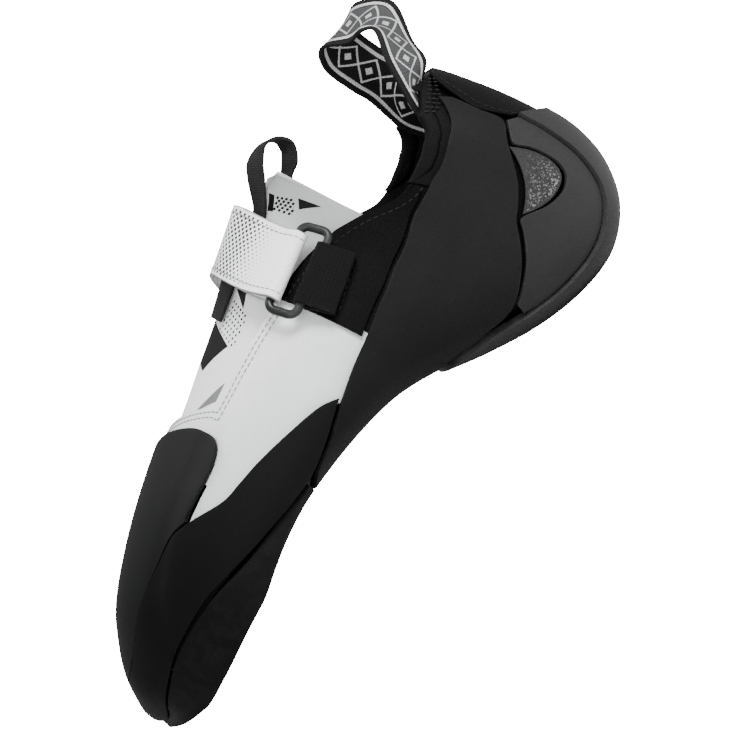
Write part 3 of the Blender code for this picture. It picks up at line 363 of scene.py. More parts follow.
# Creases of the ground, worked into every piece that lies on it: places along each, how far it sinks
# (negative) or stands out, and its half width
CREASES = (
    # places, rise, half width
    (((7.35, -0.68), (6.6, -0.665), (5.6, -0.655), (4.8, -0.62), (4.2, -0.56)), -1.0 * MM, 4.5 * MM),
    (((6.4, -0.62), (5.6, -0.60), (4.9, -0.56)), 0.5 * MM, 5.0 * MM),
    (((9.5, -0.50), (8.9, -0.56), (8.2, -0.62)), -0.45 * MM, 3.4 * MM),
    (((8.9, -0.45), (8.3, -0.50), (7.7, -0.58)), 0.35 * MM, 4.0 * MM),
    (((9.9, -0.60), (9.3, -0.63), (8.7, -0.68)), -0.3 * MM, 2.6 * MM),
    (((8.4, 0.46), (7.9, 0.58), (7.6, 0.70)), -0.6 * MM, 3.0 * MM),
    (((9.2, 0.48), (8.6, 0.60), (8.2, 0.70)), -0.5 * MM, 3.0 * MM),
    (((12.6, -0.40), (13.4, -0.46), (14.4, -0.50)), -0.3 * MM, 5.0 * MM),
    (((10.8, -0.36), (11.6, -0.40), (12.2, -0.46)), 0.3 * MM, 5.0 * MM),
)


def relief(places):
    """How far the creases lift the ground at places."""
    points = read(SURFACE, places)
    lift = np.zeros(points.shape[:-1])
    for line_places, rise, half_width in CREASES:
        path = read(SURFACE, line(line_places, 40))
        nearest = np.full(lift.shape, np.inf)
        for spot in path:
            nearest = np.minimum(nearest, ((points - spot) ** 2).sum(axis=-1))
        lift += rise * np.exp(-nearest / half_width ** 2)
    return lift


def on_ground(places, depth):
    """Points at a depth over the creased last."""
    places = np.asarray(places, float)
    return on_last(places, depth + relief(places))


# Meshes

OVERLAY_ROLL = 0.45 * MM  # how far the edges of rubbers and panels are rounded
CLOTH_ROLL = 0.25 * MM
WINDOW_ROLL = 0.2 * MM
SEAM_POINTS = 120
SHARP_ANGLE = 50  # degrees from which an edge is rounded
WELD = 2e-6  # points nearer than this are one
PANEL_ROLL = 0.35 * MM
STRAP_ROLL = 0.4 * MM
BOARD_ROLL = 0.5 * MM  # also the tongue's
SKIN_ROLL = 0.3 * MM
FINISHES = {}  # the finished materials, by name


def finish_mesh(name, points, faces, flat, finish, nodes, roll=0.0, covered=None):
    """Makes a piece that rides on the shoe, with rolled edges, pattern coordinates and its finish."""
    data = bpy.data.meshes.new(name)
    data.from_pydata(points.tolist(), [], faces)
    layout = data.attributes.new("flat", "FLOAT_VECTOR", "POINT")
    layout.data.foreach_set("vector", np.asarray(flat, np.float32).ravel())
    if covered is not None:
        under = data.attributes.new("covered", "FLOAT", "POINT")
        under.data.foreach_set("value", np.asarray(covered, np.float32).ravel())
    mesh = bmesh.new()
    mesh.from_mesh(data)
    bmesh.ops.remove_doubles(mesh, verts=mesh.verts, dist=WELD)
    bmesh.ops.recalc_face_normals(mesh, faces=mesh.faces)
    mesh.to_mesh(data)
    mesh.free()
    piece = bpy.data.objects.new(name, data)
    bpy.context.scene.collection.objects.link(piece)
    if roll:
        bevel = piece.modifiers.new("roll", "BEVEL")
        bevel.width = roll
        bevel.segments = 3
        bevel.limit_method = "ANGLE"
        bevel.angle_limit = math.radians(SHARP_ANGLE)
        bevel.use_clamp_overlap = True
        baked = bpy.data.meshes.new_from_object(piece.evaluated_get(bpy.context.evaluated_depsgraph_get()))
        piece.modifiers.clear()
        piece.data = baked
    piece.data.shade_smooth()
    piece.data.materials.clear()
    piece.data.materials.append(FINISHES[finish])
    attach(piece, "root")
    if nodes:
        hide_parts(*nodes)
    return piece


def measured(grid):
    """Pattern coordinates of a grid: metres along and across it from its middle, and from its side."""
    along_rows = np.concatenate([[0], np.cumsum(np.linalg.norm(np.diff(grid, axis=0), axis=2).mean(axis=1))])
    steps = np.linalg.norm(np.diff(grid, axis=1), axis=2)
    across = np.concatenate([np.zeros((grid.shape[0], 1)), np.cumsum(steps, axis=1)], axis=1)
    side = np.minimum(across, across[:, -1:] - across)
    across = across - across[:, -1:] / 2
    ends = np.minimum(along_rows, along_rows[-1] - along_rows)[:, None]
    rows = np.broadcast_to(along_rows[:, None] - along_rows[-1] / 2, across.shape)
    return np.stack([rows, across, np.minimum(side, ends)], axis=-1)


def layer(name, outer, inner, finish, nodes=(), present=None, ring=False, flat=None, roll=0.0, covered=None):
    """Closed sheet between two grids of points, with walls round its edges and round cells left out."""
    rows, columns = outer.shape[:2]
    index = np.arange(rows * columns).reshape(rows, columns)
    if ring:
        index = np.concatenate([index, index[:, :1]], axis=1)
    if present is None:
        present = np.ones((rows - 1, index.shape[1] - 1), bool)
    cell = [index[:-1, :-1], index[1:, :-1], index[1:, 1:], index[:-1, 1:]]
    under = rows * columns
    faces = np.stack([part[present] for part in cell], axis=1)
    faces = np.concatenate([faces, faces[:, ::-1] + under])
    there = np.zeros((rows + 1, present.shape[1] + 2), bool)
    there[1:-1, 1:-1] = present
    if ring:
        there[:, 0], there[:, -1] = there[:, -2], there[:, 1]
    beside = (there[1:-1, :-2], there[2:, 1:-1], there[1:-1, 2:], there[:-2, 1:-1])
    for k in range(4):
        open_side = present & ~beside[k]
        a, b = cell[k][open_side], cell[(k + 1) % 4][open_side]
        faces = np.concatenate([faces, np.stack([a + under, b + under, b, a], axis=1)])
    points = np.concatenate([outer.reshape(-1, 3), inner.reshape(-1, 3)])
    if flat is None:
        flat = measured(outer)
    flat = np.concatenate([flat.reshape(-1, 3)] * 2)
    used = np.zeros(len(points), bool)
    used[faces.ravel()] = True
    renumber = np.cumsum(used) - 1
    if covered is not None:
        covered = np.broadcast_to(covered, (2, rows, columns)).reshape(-1)[used]
    return finish_mesh(name, points[used], renumber[faces].tolist(), flat[used], finish, nodes, roll, covered)


def overlay(name, places, thickness, finish, nodes, depth=SEAT, roll=OVERLAY_ROLL):
    """A sheet of even thickness on the creased ground."""
    top = on_ground(places, depth + thickness)
    return layer(name, top, on_ground(places, depth), finish, nodes, roll=roll)


def unit(vectors):
    """Vectors of length one."""
    return vectors / np.linalg.norm(vectors, axis=-1, keepdims=True)


def directions(points):
    """Direction of a row of points at each of them, halfway between the steps before and after it."""
    steps = unit(np.diff(points, axis=0))
    return unit(np.concatenate([steps[:1], steps[:-1] + steps[1:], steps[-1:]]))


def cloth(name, middle, thickness, finish, nodes, roll=CLOTH_ROLL, start=None, covered=None):
    """Strap or webbing of even thickness round a grid of points, with rows along it and columns across.
    start is how far along it its pattern starts."""
    normal = unit(np.cross(directions(middle), np.gradient(middle, axis=1)))
    flat = measured(middle)
    if start is not None:
        flat[..., 0] += -flat[0, 0, 0] - start
    half = thickness / 2
    return layer(name, middle + normal * half, middle - normal * half, finish, nodes, flat=flat, roll=roll,
                 covered=covered)


def ring_tube(name, rings, finish, nodes):
    """Closed tube through rings of points."""
    rings = np.asarray(rings)
    index = np.arange(rings.shape[0] * rings.shape[1]).reshape(rings.shape[:2])
    around = np.concatenate([index, index[:, :1]], axis=1)
    around = np.concatenate([around, around[:1]])
    faces = np.stack([around[:-1, :-1], around[:-1, 1:], around[1:, 1:], around[1:, :-1]], axis=-1)
    flat = measured(rings).reshape(-1, 3)
    return finish_mesh(name, rings.reshape(-1, 3), faces.reshape(-1, 4).tolist(), flat, finish, nodes)


def stitches(name, seams, finish, length=2.0 * MM, gap=0.9 * MM, thick=0.22 * MM):
    """Rows of stitches as small rounded pieces of thread, one mesh for all. A seam is points and normals."""
    across = [(math.cos(a), math.sin(a)) for a in np.linspace(0, 2 * math.pi, 6, endpoint=False)]
    stops = ((-0.5, 0.0), (-0.42, 0.75), (-0.2, 1.0), (0.2, 1.0), (0.42, 0.75), (0.5, 0.0))
    points, faces = [], []
    for path, normals in seams:
        walked = lengths_along(path)
        count = max(int(walked[-1] / (length + gap)), 1)
        for k in range(count):
            middle = (k + 0.5) * walked[-1] / count
            ends = [np.array([np.interp(middle + s * length / 2, walked, path[:, c]) for c in range(3)])
                    for s in (-1, 1)]
            up = unit(np.array([np.interp(middle, walked, normals[:, c]) for c in range(3)]))
            run = unit(ends[1] - ends[0])
            side = np.cross(up, run)
            centre = (ends[0] + ends[1]) / 2
            start = len(points)
            for stop, width in stops:
                arch = 1 - (2 * stop) ** 2
                for c, s in across:
                    wide = thick * max(width, 0.15)
                    spot = centre + run * stop * length + side * wide * c
                    points.append(spot + up * (wide * s + thick * 0.5 * arch))
            sides = len(across)
            for i in range(len(stops) - 1):
                for j in range(sides):
                    n = (j + 1) % sides
                    a, b = start + i * sides, start + (i + 1) * sides
                    faces.append([a + j, a + n, b + n, b + j])
            faces.append([start + j for j in reversed(range(sides))])
            faces.append([start + (len(stops) - 1) * sides + j for j in range(sides)])
    points = np.array(points)
    return finish_mesh(name, points, faces, np.zeros_like(points), finish, ())


def sewn(places, depth):
    """Path and normals of a seam through places on the creased ground."""
    path = on_ground(places, depth)
    return path, unit(on_ground(places, depth + MM) - path)


def seam(places, depth):
    """Path and normals of a seam along a smooth line through places."""
    return sewn(line(places, SEAM_POINTS), depth)


def straight_seam(corners, depth, count=60):
    """Path and normals of a seam from place to place, straight in between."""
    corners = np.array(corners, float)
    turns = np.linspace(0, len(corners) - 1, count)
    places = np.stack([np.interp(turns, np.arange(len(corners)), corners[:, k]) for k in range(2)], axis=1)
    return sewn(places, depth)


def printed(name, shapes, depth, finish):
    """Flat printed shapes, each a row of corner places, laid on a piece whose face lies at depth."""
    mesh = bmesh.new()
    for corners in shapes:
        spots = [(station / GIRTH_IN_STATIONS, girth, 0) for station, girth in corners]
        face = mesh.faces.new([mesh.verts.new(spot) for spot in spots])
        if face.calc_area() > PRINT_AREA:
            cut = bmesh.ops.triangulate(mesh, faces=[face])
            edges = list({edge for made in cut["faces"] for edge in made.edges})
            bmesh.ops.subdivide_edges(mesh, edges=edges, cuts=7, use_grid_fill=True)
    mesh.verts.index_update()
    places = np.array([(vert.co.x * GIRTH_IN_STATIONS, vert.co.y) for vert in mesh.verts])
    faces = [[vert.index for vert in face.verts] for face in mesh.faces]
    mesh.free()
    points = on_last(places, depth(places) + PRINT_LIFT)
    return finish_mesh(name, points, faces, points, finish, ())


def dot_places(corners, rows, columns, radius):
    """Round dots in a staggered grid between four corner places."""
    corners = np.array(corners, float)
    shapes = []
    for i in range(rows):
        for j in range(columns):
            u, v = (i + 0.5) / rows, (j + 0.5 + 0.5 * (i % 2)) / (columns + 0.5)
            low, high = corners[0] * (1 - v) + corners[1] * v, corners[3] * (1 - v) + corners[2] * v
            middle = low * (1 - u) + high * u
            half = half_girth(middle[0])
            turns = np.linspace(0, 2 * math.pi, DOT_SIDES, endpoint=False)
            step = np.linalg.norm(on_last(middle + np.array([0.1, 0]), 0.0) - on_last(middle, 0.0)) / 0.1
            shapes.append([(middle[0] + radius / step * math.cos(a), middle[1] + radius / half * math.sin(a))
                           for a in turns])
    return shapes


# Pieces on the foot

TONGUE_FACE = TONGUE_RISE - UPPER_WALL - SEAT  # depth of the tongue's outer face in the middle of the throat
SKIN = 1.0 * MM  # the upper's own sheet; the lining is the rest of its wall
PRINT_LIFT = 0.06 * MM
PRINT_AREA = 0.0006  # printed shapes larger than this are cut up so that they follow the round ground
DOT_SIDES = 10


def eased(share):
    """A share from 0 to 1 with a soft start and end."""
    return share * share * (3 - 2 * share)


def slant(stations, girth):
    """Moves places near the throat's bottom towards the toe, more so on the medial side."""
    reach = np.clip(1 - np.abs(stations - THROAT_CORNER) / SLANT_REACH, 0, 1)
    edge = COLLAR[0][1]
    lateral = np.clip((-girth - edge) / (1 - edge), 0, 1) / 2
    medial = np.clip((girth - SLANT_SIDE) / (edge - SLANT_SIDE), 0, 1)
    medial = np.where(girth > edge, 1 - (girth - edge) / (1 - edge) / 2, medial)
    return stations - THROAT_SLANT * reach * np.where(girth < 0, lateral, medial)


def opening_edge(stations):
    """Girth share of the edge of throat and collar."""
    return np.interp(stations, *np.array(COLLAR).T)


def upper_places():
    """Grid of places over the whole upper, and which cells of it are there."""
    closed = np.linspace(0, THROAT_CORNER, 93)
    stations = np.concatenate([closed, np.linspace(THROAT_CORNER, TOP, 151)[1:]])
    edge = opening_edge(stations)[:, None]
    low = np.linspace(0, 1, 61)[None, :] * edge
    high = edge + (1 - edge) * np.linspace(0, 1, 21)[None, 1:]
    side = np.concatenate([low, high], axis=1)
    ridge = side.shape[1] - 1
    girth = np.concatenate([-side[:, :0:-1], side[:, :ridge]], axis=1)
    rows = np.repeat(stations[:, None], girth.shape[1], axis=1)
    present = np.ones((len(stations) - 1, girth.shape[1]), bool)
    is_open = stations[:-1] >= THROAT_CORNER - 1e-9
    present[is_open, :20] = False
    present[is_open, -20:] = False
    return np.stack([slant(rows, girth), girth], axis=-1), present


def vamp_cover(places):
    """1 where other pieces cover the upper, so that it is black between them, and 0 on the white vamp."""
    station, girth = places[..., 0], np.abs(places[..., 1])
    rand, band = line(RAND_TOP, 200)[::-1], line(BAND_FRONT, 200)[::-1]
    low = np.where(station < RAND_TOP[0][0], np.interp(station, *rand.T), np.interp(station, *band.T))
    lateral, medial = line(PATCH_REAR, 120), line(PATCH_REAR_MEDIAL, 120)
    patch = np.where(places[..., 1] < 0, np.interp(girth, lateral[:, 1], lateral[:, 0]),
                     np.interp(girth, medial[:, 1], medial[:, 0]))
    panel = np.interp(girth, (PANEL_BAND[0][1], PANEL_COLLAR[0][1]), (PANEL_BAND[0][0], PANEL_COLLAR[0][0]))
    hidden = (station > panel + 0.12) | (girth < low - 0.012)
    hidden |= (station < patch - 0.12) & (girth > PATCH_REAR[0][1] - 0.02)
    return hidden.astype(float)


def make_upper():
    places, present = upper_places()
    lift = relief(places)
    skin = [on_last(places, lift - depth) for depth in (0.0, SKIN)]
    layer("vamp_and_quarters", *skin, "white_leather", ["upper"], present, ring=True,
          roll=SKIN_ROLL, covered=vamp_cover(places))
    coarse, present = places[::2, ::2], present[::2, ::2]
    lift = lift[::2, ::2]
    lining = [on_last(coarse, lift - depth) for depth in (SKIN + 0.02 * MM, UPPER_WALL)]
    layer("lining", *lining, "lining", (), present, ring=True)


THROAT_STITCHES = (0.016, 0.034)  # how far each row of stitches runs from the throat's edge, as a girth share
THROAT_GIRTH = 5.5  # stations that are as long as half the girth there
THROAT_TOP = 9.85  # station where the rows run under the collar panel


def throat_stitches():
    seams = []
    for side in (-1, 1):
        for inset in THROAT_STITCHES:
            corner = THROAT_CORNER - inset * THROAT_GIRTH
            down = np.linspace(THROAT_TOP, corner, 120)
            rim = opening_edge(down) - inset
            across = np.linspace(rim[-1], 1.0, 60)[1:]
            stations = np.concatenate([down, np.full(len(across), corner)])
            girth = side * np.concatenate([rim, across])
            places = np.stack([slant(stations, girth), girth], axis=1)
            seams.append(sewn(places, 0.0))
    stitches("throat_stitches", seams, "grey_thread", length=1.8 * MM, gap=0.45 * MM,
             thick=0.19 * MM)


def tongue_level(stations, signed):
    """Depth of the tongue's outer face before the throat's slant."""
    edge = opening_edge(stations)
    open_part = np.clip((np.abs(signed) - edge) / (1 - edge), 0, 1)
    below_throat = np.clip(stations - THROAT_CORNER, 0, 1)
    return TONGUE_FACE - TONGUE_RISE * (1 - eased(open_part) * eased(below_throat))


def tongue_depth(places):
    """Depth of the tongue's outer face at places."""
    signed = np.where(places[..., 1] < -1, places[..., 1] + 2, places[..., 1])
    straight = places[..., 0]
    for _ in range(8):
        straight = places[..., 0] + straight - slant(straight, signed)
    return tongue_level(straight, signed)


def make_tongue():
    stations = np.linspace(TONGUE_START, TONGUE_END, 131)
    lap = opening_edge(stations) - TONGUE_LAP
    girth = -lap[:, None] - (2 - 2 * lap)[:, None] * np.linspace(0, 1, 91)[None, :]
    signed = np.where(girth < -1, girth + 2, girth)
    rows = slant(np.repeat(stations[:, None], girth.shape[1], axis=1), signed)
    places = np.stack([rows, girth], axis=-1)
    depth = tongue_level(stations[:, None], signed)
    layer("tongue_cloth", on_last(places, depth), on_last(places, depth - TONGUE_WALL), "knit",
          ["tongue"], roll=BOARD_ROLL)


TONGUE_PRINTS = {
    # finish: corner places of each shape on the tongue
    "black_print": (
        ((12.60, -0.893), (12.74, -0.826), (12.24, -0.868)),
        ((9.66, -0.906), (9.68, -0.852), (9.41, -0.836)),
        ((9.05, -0.995), (8.30, -1.000), (8.17, -0.935), (8.74, -0.835), (8.93, -0.935)),
        ((12.24, -0.978), (12.26, -0.958), (11.70, -0.930), (11.62, -0.948)),
    ),
    "grey_print": (
        ((8.20, -0.772), (7.50, -0.872), (7.85, -0.772)),
    ),
}
TONGUE_DOTS = (
    # corner places, rows, columns, radius
    (((12.26, -0.952), (12.52, -0.896), (11.92, -0.862), (11.74, -0.938)), 5, 4, 0.54 * MM),
    (((9.50, -0.900), (9.36, -0.800), (8.72, -0.800), (8.90, -0.930)), 7, 6, 0.46 * MM),
)


def tongue_prints():
    for word, shapes in TONGUE_PRINTS.items():
        shapes = list(shapes) + [[(station, -2 - girth) for station, girth in shape] for shape in shapes]
        if word == "black_print":
            for corners, rows, columns, radius in TONGUE_DOTS:
                dots = dot_places(corners, rows, columns, radius)
                shapes += dots + [[(station, -2 - girth) for station, girth in dot] for dot in dots]
        printed("tongue_" + word, shapes, tongue_depth, word)


def make_insole():
    places = round_sole(INSOLE_GIRTH, np.linspace(INSOLE_START, INSOLE_END, 120), 41)
    top = np.full(places.shape[:2], -UPPER_WALL - ROUND_SEAT)
    layer("inner_sole", on_last(places, top), on_last(places, top - INSOLE_THICKNESS), "board", ["insole"],
          roll=BOARD_ROLL)


def sole_level(x):
    """Height of the outsole's underside at x: the last's underside less the rubber, flat on the floor."""
    middle = SURFACE[: 9 * STATION_STEPS, GIRTH_STEPS]
    slope = np.gradient(middle[:, 2]) / np.maximum(np.gradient(middle[:, 0]), 1e-6)
    level = middle[:, 2] - (OUTSOLE_THICKNESS + GAP) * np.sqrt(1 + slope ** 2)
    start = 2 * STATION_STEPS
    return np.maximum(np.interp(x, middle[start:, 0], level[start:]), 0.0)


SOLE_LAP = 0.065  # stations by which the sole closes up to the heel band


def make_outsole():
    start, end = OUTSOLE_RIM[0][0], OUTSOLE_RIM[-1][0] + SOLE_LAP
    stations = np.concatenate([np.linspace(start, start + 1, 24)[:-1], np.linspace(start + 1, end, 100)])
    rim = girth_of(OUTSOLE_RIM, stations)
    share = np.concatenate([[-1, -0.999], np.linspace(-0.98, 0.98, 41), [0.999, 1]])
    girth = rim[:, None] * share[None, :]
    places = np.stack([np.repeat(stations[:, None], len(share), axis=1), girth], axis=-1)
    thin = eased(np.clip((stations - OUTSOLE_THIN) / (end - OUTSOLE_THIN), 0, 1))[:, None]
    depth = np.full(girth.shape, ROUND_SEAT)
    depth[:, [0, -1]] = OUTSOLE_LIP + (ROUND_SEAT - OUTSOLE_LIP) * thin
    depth[0] = OUTSOLE_LIP
    top = on_last(places, depth)
    inset = ((share + 1) / 2)[None, :, None]
    bottom = top[:, :1] * (1 - inset) + top[:, -1:] * inset
    bottom[..., 2] = sole_level(bottom[..., 0])
    sheet = on_last(places, ROUND_SEAT + RUBBER + 0 * girth)
    layer("sole_rubber", top, bottom + (sheet - bottom) * thin[..., None], "sole_rubber",
          ["outsole"], roll=0.5 * MM)


TOE_CLOSING = 0.009  # girth share by which the toe cap closes up to the rand, where both are ground smooth
TOE_GROUND = 5.6  # station from which they are


def make_forefoot_rubber():
    low, top = both_sides(line(RAND_LOW, 110)), both_sides(line(RAND_TOP, 110))
    overlay("toe_rand", round_nose(low, top, 31), RUBBER, "sole_rubber", ["rand"])
    nose, rear, medial = line(PATCH_NOSE, 61), line(PATCH_REAR, 61), line(PATCH_REAR_MEDIAL, 61)
    nose[:, 1] -= TOE_CLOSING * eased(np.clip(TOE_GROUND - nose[:, 0], 0, 1))
    nose, rear = both_sides(nose), both_sides(rear, medial)
    for edge in (nose, rear):
        edge[61:, 1] -= 2  # past the ridge
    overlay("toe_cap_rubber", between(nose, rear, 57), RUBBER, "cap_rubber", ["toe_patch"])


def make_arch_band():
    front, rear = both_sides(line(BAND_FRONT, 170)), both_sides(line(BAND_REAR, 170))
    overlay("heel_band", between(front, rear, 51), RUBBER, "rubber", ["arch_band"], ROUND_SEAT)


def make_heel():
    places = round_sole(STRIP_EDGE, np.linspace(STRIP_EDGE[0][0], STRIP_EDGE[-1][0], 130), 45)
    seat = np.full(places.shape[:2], SEAT)
    outer = on_last(places, seat + HEEL_RUBBER)
    outer[..., 2] = np.maximum(outer[..., 2], 0.0)
    layer("heel_rubber", outer, on_last(places, seat), "heel_rubber", ["heel_strip"], roll=2 * OVERLAY_ROLL)
    cup = between(line(CUP_INNER, 110), line(CUP_OUTER, 110), 25)
    curve = line(WINDOW_CURVE, 41)
    straight = curve[0] + (curve[-1] - curve[0]) * np.linspace(0, 1, 41)[:, None]
    window = between(straight, curve, 21)
    for side, word in SIDES:
        overlay("cup_rubber_" + word, on_side(cup, side), RUBBER, "heel_rubber", ["heel_cup_" + word],
                ROUND_SEAT)
        overlay("window_" + word, on_side(window, side), WINDOW_RUBBER, "rough_rubber",
                ["heel_window_" + word], roll=WINDOW_ROLL)
    places = round_sole(TAB_SIDE, np.linspace(TAB_SIDE[0][0], TAB_SIDE[-1][0], 51), 61)
    overlay("heel_tab_cover", places, PANEL_WALL, "binding", ["heel_tab"])


BINDING_FOLD = 3.6 * MM  # how far the rolled binding reaches down from the rim
BINDING_SKIN = 0.8 * MM
BINDING_GROWTH = 1.1  # stations over which the binding grows from its thin front end
BINDING_GAP = 0.15 * MM  # how far its fold stands off the rim
QUARTER_WALL = 0.5 * MM
QUARTER_SEAT = 0.03 * MM
QUARTER_LAP = 0.01  # girth share by which the black quarter runs under the heel band


def make_collar():
    for side, word in SIDES:
        low, high = line(PANEL_BAND, 90), line(PANEL_COLLAR, 90)
        overlay("collar_cover_" + word, on_side(between(low, high, 41), side), PANEL_WALL,
                "smooth_black", ["collar_panel_" + word], roll=PANEL_ROLL)
        stations = np.linspace(BINDING_START - 0.1, BINDING_END + 0.15, 110)
        edge = opening_edge(stations)
        quarter = np.stack([stations, girth_of(BAND_FRONT[::-1], stations) - QUARTER_LAP], axis=1)
        rim = np.stack([stations, edge - EDGE_GAP / 2], axis=1)
        overlay("quarter_" + word, on_side(between(quarter, rim, 15), side), QUARTER_WALL, "binding", (),
                QUARTER_SEAT, roll=0.0)
        growing = eased(np.clip((stations - stations[0]) / BINDING_GROWTH, 0, 1))
        turn = np.linspace(math.pi / 2, -math.pi / 2, 13)
        sheets = []
        for skin, swell in ((0.0, 0.0), (BINDING_SKIN, 1.0)):
            rows = []
            for station, rim, grown in zip(stations, edge, growing):
                radius = UPPER_WALL / 2 + BINDING_GAP + skin * (0.25 + 0.75 * grown)
                fold = BINDING_FOLD * (0.15 + 0.85 * grown)
                above = np.concatenate([np.array([-1.0, -0.72, -0.4]) * fold, radius * np.cos(turn),
                                        np.array([-0.5, -1.0]) * fold])
                depth = np.concatenate([[radius] * 3, radius * np.sin(turn), [-radius] * 2])
                depth[1:3] += swell * np.array([0.30, 0.08]) * MM
                girth = side * (rim + above / half_girth(station))
                places = np.stack([np.full(len(girth), station), girth], axis=1)
                rows.append(on_last(places, depth - UPPER_WALL / 2))
            sheets.append(np.array(rows))
        layer("rolled_binding_" + word, sheets[1], sheets[0], "binding", ["collar_binding_" + word])


KEEPER_SEAMS = (
    # places of the rows that hold the ring's webbing, on the lateral side
    ((11.72, 0.700), (11.84, 0.645), (11.26, 0.588), (10.47, 0.530)),
    ((11.52, 0.690), (11.62, 0.650), (11.12, 0.602), (10.40, 0.550)),
)


def black_stitches():
    seams = []
    top = SEAT + PANEL_WALL
    for side in (-1, 1):
        for places in KEEPER_SEAMS if side < 0 else ():
            seams.append(straight_seam(on_side(np.array(places), side), top, 120))
        high = line(PANEL_COLLAR, 90)
        seams.append(seam(on_side(high - np.array([0, 0.022]), side), top))
        tab = line(TAB_SIDE, 60)
        seams.append(seam(on_side(tab * np.array([1, 0.90]), side), top))
    stitches("black_stitches", seams, "black_thread", length=1.7 * MM, gap=0.8 * MM,
             thick=0.16 * MM)


# Strap, ring and loops


def half_girth(station):
    """Length round half the last at a station."""
    half = SURFACE[int(round(station * STATION_STEPS)), : GIRTH_STEPS + 1]
    return np.linalg.norm(np.diff(half, axis=0), axis=1).sum()


def strap_path():
    """Distance along the strap's line, with its points, outward directions and directions across."""
    places = on_side(line(STRAP_LINE, STRAP_KNOTS), -1)
    knots = on_last(places, 0.0)
    fine = np.linspace(0, STRAP_KNOTS - 1, 10 * STRAP_KNOTS)
    points, out = along(knots, fine), unit(along(on_last(places, 1.0) - knots, fine))
    across = unit(np.cross(directions(points), out))
    walked = lengths_along(points)
    return walked, (points, out, across)


def strap_frame(path, distance):
    """Point, outward direction and direction across at a distance along the strap's line."""
    walked, fields = path
    point, out, across = (np.array([np.interp(distance, walked, field[:, k]) for k in range(3)])
                          for field in fields)
    return point, unit(out), unit(across)


def folded(path, towards, lower_length, upper_length, width, thickness, count):
    """Grid of a strap folded round a bar of the ring, which it leaves along the strap's line (1) or against
    it (-1), with its length from its sewn end to the top of the bar."""
    middle, out, across = strap_frame(path, RING_AT)
    run = towards * np.cross(out, across)
    bar = (RING_DEPTH - RING_WIRE) / 2
    radius = RING_WIRE / 2 + GAP + thickness / 2
    base = STRAP_LIFT + thickness / 2
    top, rest = base + 2 * radius, base + thickness + GAP
    leaving = math.atan2(2 * (top - rest), STRAP_SETTLE)
    rows = [(distance, base) for distance in np.linspace(lower_length, 0, 60)[:-1]]
    for angle in np.linspace(-math.pi / 2, math.pi / 2 + leaving, 22):
        rows.append((-radius * math.cos(angle), base + radius * (1 + math.sin(angle))))
    first, height = rows[-1]
    for distance in np.linspace(first, upper_length, 80)[1:]:
        rows.append((distance, rest + (height - rest) * max(1 - (distance - first) / STRAP_SETTLE, 0.0) ** 2))
    columns = np.linspace(-width / 2, width / 2, count)[:, None]
    grid = []
    for distance, height in rows:
        straight = middle + run * (bar + distance) + out * height + across * columns
        point, normal, sideways = strap_frame(path, RING_AT + towards * (bar + distance))
        curved = point + normal * height + sideways * columns
        share = eased(min(max(distance / STRAP_BEND, 0.0), 1.0))
        grid.append(straight * (1 - share) + curved * share)
    return np.array(grid), lower_length + math.pi * radius


def make_closure():
    path = strap_path()
    grid, start = folded(path, 1, STRAP_SEWN_LENGTH, STRAP_FREE_LENGTH, STRAP_WIDTH, STRAP_THICKNESS, 31)
    cloth("closure_strap", grid, STRAP_THICKNESS, "strap", ["strap"], start=start, roll=STRAP_ROLL)
    normal = unit(np.cross(directions(grid), np.gradient(grid, axis=1)))
    seams = []
    outward = normal * strap_sign(grid, normal)
    upper_face = slice(70, None)
    for column in (3, -4):
        away = outward[upper_face, column]
        seams.append((grid[upper_face, column] + away * (STRAP_THICKNESS / 2 + 0.02 * MM), away))
    stitches("strap_stitches", seams, "grey_thread", length=1.8 * MM, gap=0.35 * MM, thick=0.17 * MM)
    grid, start = folded(path, -1, RING_WEBBING_LENGTH, RING_WEBBING_LENGTH, RING_WEBBING_WIDTH,
                         WEBBING_THICKNESS, 23)
    cloth("ring_keeper", grid, WEBBING_THICKNESS, "webbing", ["ring_webbing"], start=start)
    middle, out, across = strap_frame(path, RING_AT)
    run = np.cross(out, across)
    bar = (RING_DEPTH - RING_WIRE) / 2
    bar_lift = STRAP_LIFT + GAP + RING_WIRE / 2
    strap_bar = run * bar + out * (bar_lift + STRAP_THICKNESS)
    webbing_bar = -run * bar + out * (bar_lift + WEBBING_THICKNESS)
    middle = middle + (strap_bar + webbing_bar) / 2
    short = unit(strap_bar - webbing_bar)
    up = np.cross(across, short)
    half_long = (RING_LENGTH - RING_WIRE) / 2
    corner = RING_CORNER * bar
    turns = np.linspace(0, 2 * math.pi, 24, endpoint=False)
    rings = []
    for sign_long, sign_short, start in ((1, 1, 0), (-1, 1, 90), (-1, -1, 180), (1, -1, 270)):
        for angle in np.radians(np.linspace(start, start + 90, 11)):
            direction = across * math.cos(angle) + short * math.sin(angle)
            seat = across * sign_long * (half_long - corner) + short * sign_short * (bar - corner)
            centre = middle + seat + direction * corner
            rings.append([centre + RING_WIRE / 2 * (direction * math.cos(a) + up * math.sin(a))
                          for a in turns])
    ring_tube("moulded_ring", rings, "hard_plastic", ["ring"])


def strap_sign(grid, normal):
    """1 where the grid's normals point out of the shoe on the strap's upper layer, else -1."""
    middle = grid.reshape(-1, 3).mean(axis=0)
    spot = (len(grid) * 3 // 5, grid.shape[1] // 2)
    return 1.0 if (grid[spot] - middle).dot(normal[spot]) > 0 else -1.0


